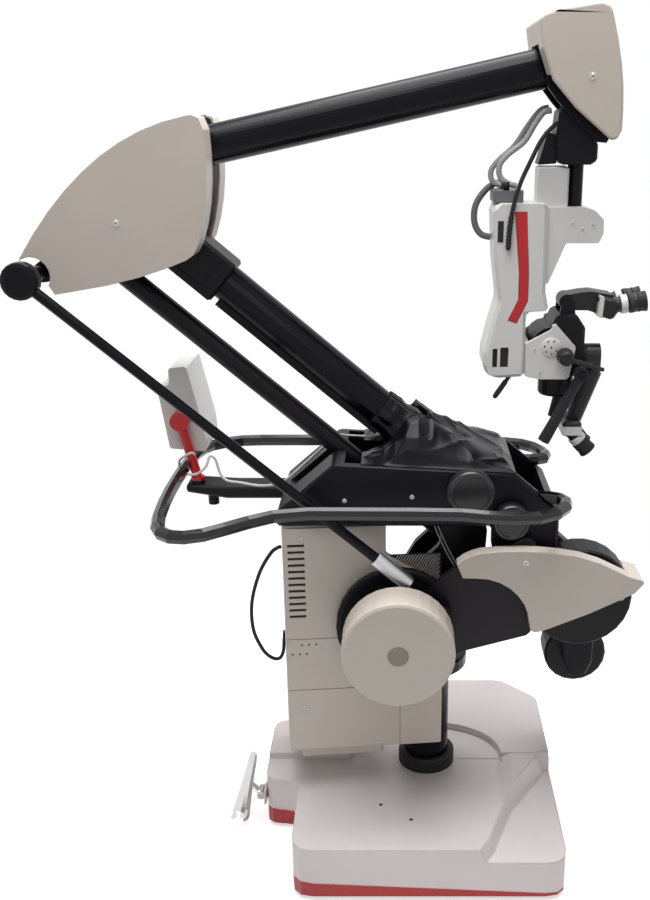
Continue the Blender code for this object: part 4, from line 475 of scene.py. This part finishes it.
def smooth_path(knots, count):
    """Points evenly spaced in parameter on a Catmull-Rom curve through the knots."""
    knots = [2 * knots[0] - knots[1]] + knots + [2 * knots[-1] - knots[-2]]
    spans = len(knots) - 3
    path = []
    for i in range(count):
        place = i * spans / (count - 1)
        span = min(int(place), spans - 1)
        t = place - span
        a, b, c, d = knots[span:span + 4]
        path.append(0.5 * (2 * b + (c - a) * t + (2 * a - 5 * b + 4 * c - d) * t ** 2
                           + (3 * b - a - 3 * c + d) * t ** 3))
    return path


def tube_mesh(path, radius, sides=14, ribs=None):
    """Rings of points square to a path. ribs is (first, last, pitch, height), the first three as fractions of it."""
    points = []
    turn = None
    count = len(path)
    for i, here in enumerate(path):
        along = (path[min(i + 1, count - 1)] - path[max(i - 1, 0)]).normalized()
        if turn is None:
            turn = along.orthogonal().normalized()
        turn = (turn - along * turn.dot(along)).normalized()
        r = radius
        t = i / (count - 1)
        if ribs and ribs[0] <= t <= ribs[1]:
            r += ribs[3] * (0.5 + 0.5 * math.sin(2 * math.pi * t / ribs[2]))
        points += circle(here, turn, along.cross(turn), r, sides)
    return points, caps(count - 1, sides) + walls(count - 1, sides)


def cable(name, knots, radius, material, body=None, blend=None, count=90, ribs=None):
    """A flexible cable or hose between two places on the object."""
    path = smooth_path(knots, count)
    points, faces = tube_mesh(path, radius, ribs=ribs)
    piece = new_piece(name, points, faces, material, body, sharp=60.0)
    if blend:
        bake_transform(piece)
    return piece


DISPLAY_ROUTE = (
    (-0.5530, 0.0425, 0.978), (-0.5600, 0.030, 0.985), (-0.5830, 0.026, 0.972), (-0.5900, 0.040, 0.952),
    (-0.5760, 0.030, 0.936), (-0.5500, 0.026, 0.934), (-0.5270, 0.034, 0.950), (-0.5180, 0.046, 0.972),
    (-0.5060, 0.050, 0.962), (-0.4960, 0.046, 0.930), (-0.4800, 0.040, 0.9135), (-0.4500, 0.036, 0.9100),
    (-0.4000, 0.030, 0.9040), (-0.3560, 0.022, 0.9120), (-0.3300, 0.018, 0.9280), (-0.2900, 0.020, 0.9640),
    (-0.2400, 0.050, 1.0020), (-0.2150, 0.060, 1.0200), (-0.1900, 0.064, 1.0180), (-0.1500, 0.066, 1.0150))
WIRE_ROUTE = (
    (0.0060, -0.0900, 0.8800), (0.0160, -0.0900, 0.8600), (0.0269, -0.0900, 0.8313), (0.0411, -0.0890, 0.7990),
    (0.0530, -0.0870, 0.7740), (0.0673, -0.0850, 0.7488), (0.0780, -0.0830, 0.7340), (0.0840, -0.0810, 0.7280))
SIDE_ROUTE = (
    (-0.3475, -0.060, 0.800), (-0.3550, -0.062, 0.799), (-0.3720, -0.064, 0.786), (-0.3990, -0.068, 0.740),
    (-0.4190, -0.072, 0.670), (-0.4190, -0.072, 0.600), (-0.4000, -0.069, 0.545), (-0.3800, -0.066, 0.520),
    (-0.3620, -0.062, 0.514), (-0.3520, -0.060, 0.530), (-0.3490, -0.060, 0.560), (-0.3470, -0.060, 0.585))
HOSE_NEAR_ROUTE = (
    (0.2480, -0.020, 1.752), (0.2320, -0.021, 1.748), (0.2140, -0.022, 1.724), (0.1930, -0.024, 1.690),
    (0.1600, -0.026, 1.664), (0.1430, -0.026, 1.642), (0.1450, -0.025, 1.618), (0.1640, -0.024, 1.604),
    (0.1800, -0.022, 1.600))
HOSE_FAR_ROUTE = (
    (0.2480, 0.018, 1.758), (0.2300, 0.019, 1.752), (0.2060, 0.020, 1.722), (0.1780, 0.022, 1.680),
    (0.1470, 0.024, 1.652), (0.1300, 0.024, 1.630), (0.1320, 0.022, 1.608), (0.1500, 0.020, 1.598),
    (0.1700, 0.018, 1.598))
ARM_CABLE_ROUTE = (
    (0.2580, -0.0480, 1.728), (0.2400, -0.052, 1.712), (0.2230, -0.056, 1.690), (0.2030, -0.060, 1.650),
    (0.1850, -0.063, 1.610), (0.1730, -0.0655, 1.570), (0.1660, -0.0665, 1.530), (0.1635, -0.0665, 1.500),
    (0.1625, -0.0660, 1.470))
CARRIER_HOSE_ROUTE = (
    (0.1600, 0.034, 1.596), (0.1460, 0.034, 1.603), (0.1220, 0.034, 1.590), (0.1010, 0.032, 1.562),
    (0.0950, 0.030, 1.535), (0.0990, 0.028, 1.510), (0.1120, 0.026, 1.493), (0.1320, 0.025, 1.487))


def make_cables():
    at_yoke = ("chassis", "monitor_yoke", tuple(spot(-0.55, 0.05, 0.940)), tuple(spot(-0.55, 0.05, 0.968)))
    at_head = ("carrier", "head", tuple(spot(0.25, 0, 1.640)), tuple(spot(0.25, 0, 1.725)))
    cable("display_cable", spots(DISPLAY_ROUTE), 0.0030, WHITE_SHEATH, blend=at_yoke, count=160)
    for name, shift in (("wire_a", 0.0), ("wire_b", -0.0065)):
        cable(name, [spot(x + shift, y, z + shift * 0.6) for x, y, z in WIRE_ROUTE],
              0.0015, WHITE_SHEATH, body="chassis", count=50)
    side = cable("side_cable_loop", [on_cabinet(*p) for p in SIDE_ROUTE],
                 0.0042, RUBBER, body="chassis", count=120)
    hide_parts("side_cable")
    for name, route, radius, material, ribs in (
            ("hose_near", HOSE_NEAR_ROUTE, 0.0062, GREY_LIGHT, None),
            ("hose_far", HOSE_FAR_ROUTE, 0.0062, GREY_LIGHT, None),
            ("arm_cable", ARM_CABLE_ROUTE, 0.0046, RUBBER, (0.72, 0.99, 0.03, 0.0018))):
        cable(name, spots(route), radius, material, blend=at_head, count=140, ribs=ribs)
    cable("carrier_hose", spots(CARRIER_HOSE_ROUTE), 0.0072, GREY_DARK, body="carrier")
    clip = block("hose_clip", spot(0.130, -0.040, 1.5668), (0.064, 0, 0), (0, 0.082, 0), (0, 0, 0.024),
                 GREY_DARK, "carrier")
    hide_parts("head_cables")
    for name, y in (("clip_strap_near", -0.0255), ("clip_strap_far", 0.0205), ("clip_strap_hose", 0.034)):
        lathe(name, [(0.0098, -0.006), (0.0104, -0.005), (0.0104, 0.005), (0.0098, 0.006)],
              spot(0.158, y, 1.5990), (1, 0, 0.05), SATIN, "carrier", 24)


# The boom's cover: a gathered vinyl sheet over the chassis's top, with a neck round the boom

def level(line, x):
    """The height of a line of (x, z) points at x."""
    for (x0, z0), (x1, z1) in zip(line, line[1:]):
        if x <= x1:
            t = max(0.0, (x - x0) / (x1 - x0))
            return z0 + (z1 - z0) * t
    return line[-1][1]


def ridged(x, y, z):
    """Noise with sharp ridges, near 1 along them."""
    return 1.0 - abs(noise.noise(Vector((x, y, z))) * 2.0)


def boot_start(y):
    """Where the cover begins along x: it is notched in the middle, where the parallel link swings."""
    return BOOT_START + 0.130 * max(0.0, min(1.0, (0.046 - abs(y)) / 0.011))


def boot_point(x, y, start):
    """A point of the cover: a crown over the boom that falls to the chassis line, with folds and creases."""
    seat = level(BOOT_SEAT, x)
    crown = level(BOOT_TOP, x) - seat
    edge = abs(y) / BOOT_HALF
    fall = 1.0 if edge < 0.35 else max(0.0, math.cos((edge - 0.35) / 0.65 * math.pi / 2)) ** 0.7
    rim = min(1.0, (x - start) / 0.02, (BOOT_END - x) / 0.02, (BOOT_HALF - abs(y)) / 0.012)
    angle = math.atan2(y, x - BOOT_FOLDS_X)
    reach = math.hypot(x - BOOT_FOLDS_X, y)
    fold = math.sin(angle * 7.0 + 3.0 * noise.noise(Vector((x * 7, y * 7, 1.0))))
    crease = ridged(x * 13 + fold * 0.2, y * 12, 3.0) ** 4
    cross = ridged(x * 6 - y * 12, y * 6 + x * 3, 8.0) ** 5
    lift = 0.0034 * fold * min(1.0, reach / 0.06) + 0.0050 * crease + 0.0050 * cross - 0.004
    lift += 0.006 * noise.noise(Vector((x * 10, y * 10, 5.0)))
    height = seat + BOOT_CLEAR + max(0.0, rim) * (max(0.006, crown * fall) * 0.93 + lift)
    sway = 0.0035 * noise.noise(Vector((x * 20, y * 20, 11.0))) * rim
    return spot(x + sway, y + sway * 0.7, max(seat + BOOT_CLEAR, height))


def make_boot():
    across, deep = BOOT_GRID
    row = deep + 1
    points = []
    for i in range(across + 1):
        for j in range(deep + 1):
            y = -BOOT_HALF + 2 * BOOT_HALF * j / deep
            start = boot_start(y)
            points.append(boot_point(start + (BOOT_END - start) * i / across, y, start))
    faces = []
    for i in range(across):
        for j in range(deep):
            a = i * row + j
            faces.append((a, a + row, a + row + 1, a + 1))
    skin = bpy.data.meshes.new("boom_cover_skin")
    skin.from_pydata([tuple(p) for p in points], [], faces)
    normals = [Vector(n.vector) for n in skin.vertex_normals]
    bpy.data.meshes.remove(skin)
    inner = [p - n * VINYL_THICKNESS for p, n in zip(points, normals)]
    top = len(points)
    rim_loop = ([i * row for i in range(across + 1)] + [across * row + j for j in range(1, deep + 1)]
                + [i * row + deep for i in range(across - 1, -1, -1)] + [j for j in range(deep - 1, 0, -1)])
    whole = faces + [tuple(top + k for k in reversed(face)) for face in faces]
    for a, b in zip(rim_loop, rim_loop[1:] + rim_loop[:1]):
        whole.append((a, a + top, b + top, b))
    boot = new_piece("boom_cover", points + inner, whole, VINYL, None, sharp=80.0)
    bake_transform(boot)
    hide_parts("boom_boot")
    neck = make_boot_neck()


def make_boot_neck():
    """The cover's neck, gathered round the boom tube by a draw cord."""
    steps, rings = 72, 30
    axis = (boom_point(1.0) - boom_point(0.0)).normalized()
    up = (boom_point(0.0, 1.0) - boom_point(0.0)).normalized()
    points = []
    for ring in range(rings + 1):
        t = ring / rings
        centre = boom_point(0.0) + axis * (NECK_START + NECK_LENGTH * t)
        for k in range(steps):
            a = 2 * math.pi * k / steps
            flare = 0.012 * (1 - t) ** 2
            gather = 0.0016 * math.sin(a * 15 + 2.0 * math.sin(a * 2)) * (0.4 + 0.6 * t)
            wave = 0.0035 * noise.noise(Vector((math.cos(a) * 2.0, math.sin(a) * 2.0, t * 5.0)))
            ring_fold = 0.0016 * math.sin(t * 17 + 2.2 * noise.noise(Vector((math.cos(a), math.sin(a), 2.0))))
            tie = -0.0020 * math.exp(-((t - 0.86) / 0.04) ** 2)
            r = NECK_RADIUS + flare + gather + wave * (1 - t * 0.6) + ring_fold + tie
            points.append(centre + (up * math.cos(a) + Vector((0, 1, 0)) * math.sin(a)) * r)
    return new_piece("boom_cover_neck", points, walls(rings, steps), VINYL, "boom", sharp=80.0)


# Screws, caps and small fittings

def make_grille():
    """The slatted guard beside the cabinet's upper part: slanting pressed slats over a dark sheet, which is painted
    shade for the gaps between them.
    """
    left, right = GRILLE_ENDS
    # A dark sheet under the slats: painted shade for the gaps between them.
    corner = on_cabinet(left, -0.0990, GRILLE_FOOT)
    block("grille_painted_shade", corner, on_cabinet(right, -0.0990, GRILLE_FOOT) - corner,
          on_cabinet(left, -0.0965, GRILLE_FOOT) - corner, (0, 0, GRILLE_HEIGHT), DARK_PARTS_AND_PAINTED_SHADE, "chassis")
    points = []
    faces = []
    for row in range(SLAT_COUNT):
        z0, z1 = SLAT_HEIGHTS
        x0 = SLAT_START + row * SLAT_PITCH
        x1 = x0 + (z1 - z0) * SLAT_LEAN
        if x0 < SLAT_ENDS[0]:
            z0 += (SLAT_ENDS[0] - x0) / SLAT_LEAN
            x0 = SLAT_ENDS[0]
        if x1 > SLAT_ENDS[1]:
            z1 -= (x1 - SLAT_ENDS[1]) / SLAT_LEAN
            x1 = SLAT_ENDS[1]
        if z1 - z0 < 0.004:
            continue
        base = len(points)
        for x, z in ((x0, z0), (x1, z1)):
            for dx, y in ((0.0, -0.0991), (0.0030, -0.0991), (0.0024, -0.1003), (0.0006, -0.1003)):
                points.append(on_cabinet(x + dx, y, z))
        for k in range(4):
            n = (k + 1) % 4
            faces.append((base + k, base + n, base + 4 + n, base + 4 + k))
        faces.append((base + 3, base + 2, base + 1, base))
        faces.append((base + 4, base + 5, base + 6, base + 7))
    new_piece("grille_slats", points, faces, IVORY, "chassis", smooth=False)


def make_screws():
    for name, place, axis, radius, body in (
            ("elbow_screw_near", (-0.6504, -0.1203, 1.532), NEAR, 0.0048, "arm"),
            ("elbow_screw_far", (-0.6504, 0.1203, 1.532), FAR, 0.0048, "arm"),
            ("head_screw_near", (0.3132, -0.1203, 1.8164), NEAR, 0.0048, "arm"),
            ("head_screw_far", (0.3132, 0.1203, 1.8164), FAR, 0.0048, "arm"),
            ("wing_screw", (0.2098, -0.2003, 0.8067), NEAR, 0.0042, "boom"),
            ("chassis_screw_0", (-0.0405, -0.1403, 0.9389), NEAR, 0.0034, "chassis"),
            ("chassis_screw_1", (0.0992, -0.1403, 0.9247), NEAR, 0.0034, "chassis"),
            ("chassis_screw_2", (-0.1900, -0.1403, 0.9300), NEAR, 0.0034, "chassis")):
        screw(name, spot(*place), axis, radius, body)
    for i, (x, z) in enumerate(((-0.305, 0.4062), (-0.120, 0.297), (-0.300, 0.8371))):
        screw("cabinet_screw_%d" % i, on_cabinet(x, -0.1080, z), CABINET_OUT, 0.0026, "chassis")


def make_fittings():
    make_screws()
    for i, (x, y) in enumerate(((-0.113, -0.192), (-0.041, -0.247))):
        lathe("base_bolt_%d" % i, [(0.0042, -0.001), (0.0042, 0.0006), (0.0030, 0.0016), (0.0008, 0.0018)],
              spot(x, y, FRONT_TOP), UP, DARK_PARTS_AND_PAINTED_SHADE, "base", 20)
    rod = (ROD_END - TAIL).normalized()
    lathe("rod_sleeve", [(0.0180, 0.0), (0.0184, 0.001), (0.0184, 0.090), (0.0172, 0.096), (0.0172, 0.0975)],
          TAIL + rod * (BOOM_LENGTH - 0.1965), rod, ALLOY, "rod", 24)
    for i, (x, z) in enumerate(((-0.307, 0.5701), (-0.2908, 0.5701), (-0.2743, 0.5701), (-0.3293, 0.5463),
                                (-0.3128, 0.5463), (-0.2962, 0.5463))):
        lathe("panel_dot_%d" % i, [(0.0024, -0.0004), (0.0024, 0.0003), (0.0016, 0.0007)],
              on_cabinet(x, -0.1063, z), CABINET_OUT, DARK_PARTS_AND_PAINTED_SHADE, "chassis", 14)
    # A thin dark plate behind the vent: painted shade for the dark interior seen through it.
    corner = on_cabinet(-0.335, -0.10210, 0.636)
    block("vent_painted_shade", corner, on_cabinet(-0.293, -0.10210, 0.636) - corner,
          on_cabinet(-0.335, -0.10222, 0.636) - corner, (0, 0, 0.189), DARK_PARTS_AND_PAINTED_SHADE, "chassis")
    make_grille()
    lathe("drum_plug", [(0.0222, -0.002), (0.0222, 0.0004), (0.0212, 0.0012), (0.0010, 0.0016)],
          spot(-0.071, -0.3000, 0.631), NEAR, TAUPE, "lever", 48)


# Optics, the swivel housing and the display

def eyepiece_details(name, start, end, radius, body):
    """A pale band, a ridged ring, a rubber cup and the glass on one eyepiece tube."""
    start = spot(*start)
    end = spot(*end)
    axis = (end - start).normalized()
    length = (end - start).length
    band = [(radius * 1.02, 0), (radius * 1.05, 0.001), (radius * 1.05, 0.013), (radius * 1.02, 0.014)]
    lathe(name + "_band", band, start + axis * (length * 0.30), axis, WHITE, body, 32)
    knurl(name + "_ring", start + axis * (length * 0.52), axis, radius * 1.09, 0.012, 30, DARK_PLASTIC, body)
    cup = [(radius * 1.03, 0.0), (radius * 1.10, 0.002), (radius * 1.03, 0.008), (radius * 1.12, 0.0175),
           (radius * 1.12, 0.0200), (radius * 0.95, 0.0206), (radius * 0.74, 0.0150)]
    lathe(name + "_cup", cup, end - axis * 0.0195, axis, RUBBER, body, 32)
    glass = [(radius * 0.70, 0.0), (radius * 0.68, 0.0006), (radius * 0.30, 0.0022), (0.0005, 0.0026)]
    lathe(name + "_glass", glass, end - axis * 0.0049, axis, LENS, body, 28)


def make_optics():
    for name, y in (("main_eye_near", -0.031), ("main_eye_far", 0.031)):
        eyepiece_details(name, (0.392, y, 1.345), (0.470, y, 1.356), 0.020, "bino")
    for name, y in (("assist_eye_near", -0.059), ("assist_eye_far", -0.001)):
        eyepiece_details(name, (0.314, y, 1.070), (0.357, y, 1.022), 0.018, "assist")
    block("assist_band", spot(0.2953, -0.0786, 1.0620), (0.0434, 0, 0), (0, 0.0972, 0), (0, 0, 0.0200),
          WHITE, "assist")
    block("main_band", spot(0.3640, -0.0506, 1.3245), (0.0100, 0, -0.004), (0, 0.1012, 0), (0.003, 0, 0.0455),
          WHITE, "bino")
    for plate, side in (("plate_near", -1), ("plate_far", 1)):
        face = spot(0.262, side * 0.0742, 1.262)
        lathe(plate, [(0.0215, -0.0005), (0.0215, 0.0018), (0.0200, 0.0028), (0.0005, 0.0030)], face,
              (0, side, 0), WHITE, "scope", 40)
        for i in range(7):
            a = 2 * math.pi * i / 7 + 0.3
            r = 0.0145 if i else 0.0
            lathe(plate + "_dot_%d" % i, [(0.0019, 0.0), (0.0019, 0.0008), (0.0012, 0.0010)],
                  face + Vector((r * math.cos(a), side * 0.0027, r * math.sin(a))), (0, side, 0),
                  DARK_PARTS_AND_PAINTED_SHADE, "scope", 12)


def make_housing_details():
    # The slots are thin dark plates of painted shade.
    for i, (x0, x1) in enumerate(((0.1362, 0.1468), (0.1532, 0.1708))):
        block("carrier_slot_%d" % i, spot(x0, -CARRIER_HALF + 0.0114, 1.2122), (x1 - x0, 0, 0),
              (0, 0.0004, 0), (0, 0, 0.0425), DARK_PARTS_AND_PAINTED_SHADE, "carrier")
    for i, (x, z) in enumerate(((0.322, 1.512), (0.344, 1.520), (0.300, 1.524))):
        screw("hook_screw_%d" % i, spot(x, -0.0452, z), NEAR, 0.0022, "carrier")
    for i, (x, z) in enumerate(((0.292, 1.215), (0.304, 1.226), (0.240, 1.205), (0.226, 1.258))):
        screw("fork_screw_%d" % i, spot(x, -0.0742, z), NEAR, 0.0020, "fork")
    block("cable_socket", spot(0.140, -0.0612, 1.486), (0.012, 0, 0), (0, 0.0014, 0), (0, 0, 0.044),
          DARK_PLASTIC, "carrier")
    root = spot(0.180, -0.045, 1.196)
    lathe("release_handle", [(0.0045, 0.0), (0.0045, 0.020), (0.0058, 0.022), (0.0062, 0.055), (0.0052, 0.064),
                             (0.0026, 0.067)],
          root, spot(0.143, -0.045, 1.140) - root, RUBBER, "carrier", 24)


def make_display():
    """The glass on the monitor's screen side and three keys under it."""
    glass = spots(((-0.6168, 0.0855, 0.9985), (-0.6168, 0.2225, 0.9985), (-0.6346, 0.2225, 1.1205),
                   (-0.6346, 0.0855, 1.1205)))
    out = (glass[2] - glass[1]).cross(glass[1] - glass[0]).normalized()
    if out.x > 0:
        out = -out
    corners = [g + out * 0.0003 for g in glass] + [g + out * 0.0016 for g in glass]
    faces = [(3, 2, 1, 0), (4, 5, 6, 7), (0, 1, 5, 4), (1, 2, 6, 5), (2, 3, 7, 6), (3, 0, 4, 7)]
    new_piece("display_glass", corners, faces, SCREEN, "monitor", smooth=False)
    for i, y in enumerate((0.120, 0.150, 0.180)):
        lathe("display_key_%d" % i, [(0.0040, -0.0004), (0.0040, 0.0010), (0.0030, 0.0014)],
              spot(-0.6182, y, 0.9905), (-1, 0, -0.1), GREY, "monitor", 18)


def make_knob_details():
    """Ridged rims and raised faces on the two balance knobs."""
    for node in ("balance_knob_1", "balance_knob_2"):
        near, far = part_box(node)
        centre = (Vector(near) + Vector(far)) / 2
        radius = (far[0] - near[0]) / 2
        body = node.replace("balance_", "")
        knurl(node + "_rim", Vector((centre.x, near[1] + 0.003, centre.z)), FAR, radius + 0.0012,
              min(0.020, (far[1] - near[1]) * 0.5), 36, DARK_PLASTIC, body)
        profile = [(0.99, -0.0020), (0.99, 0.0010), (0.93, 0.0045), (0.84, 0.0052), (0.80, 0.0040),
                   (0.78, 0.0014), (0.02, 0.0010)]
        lathe(node + "_face", [(radius * r, d) for r, d in profile], Vector((centre.x, near[1], centre.z)),
              NEAR, KNOB_FACE, body, 64)


make_stage()
make_camera()
make_boot()
make_cables()
make_fittings()
make_optics()
make_housing_details()
make_display()
make_knob_details()
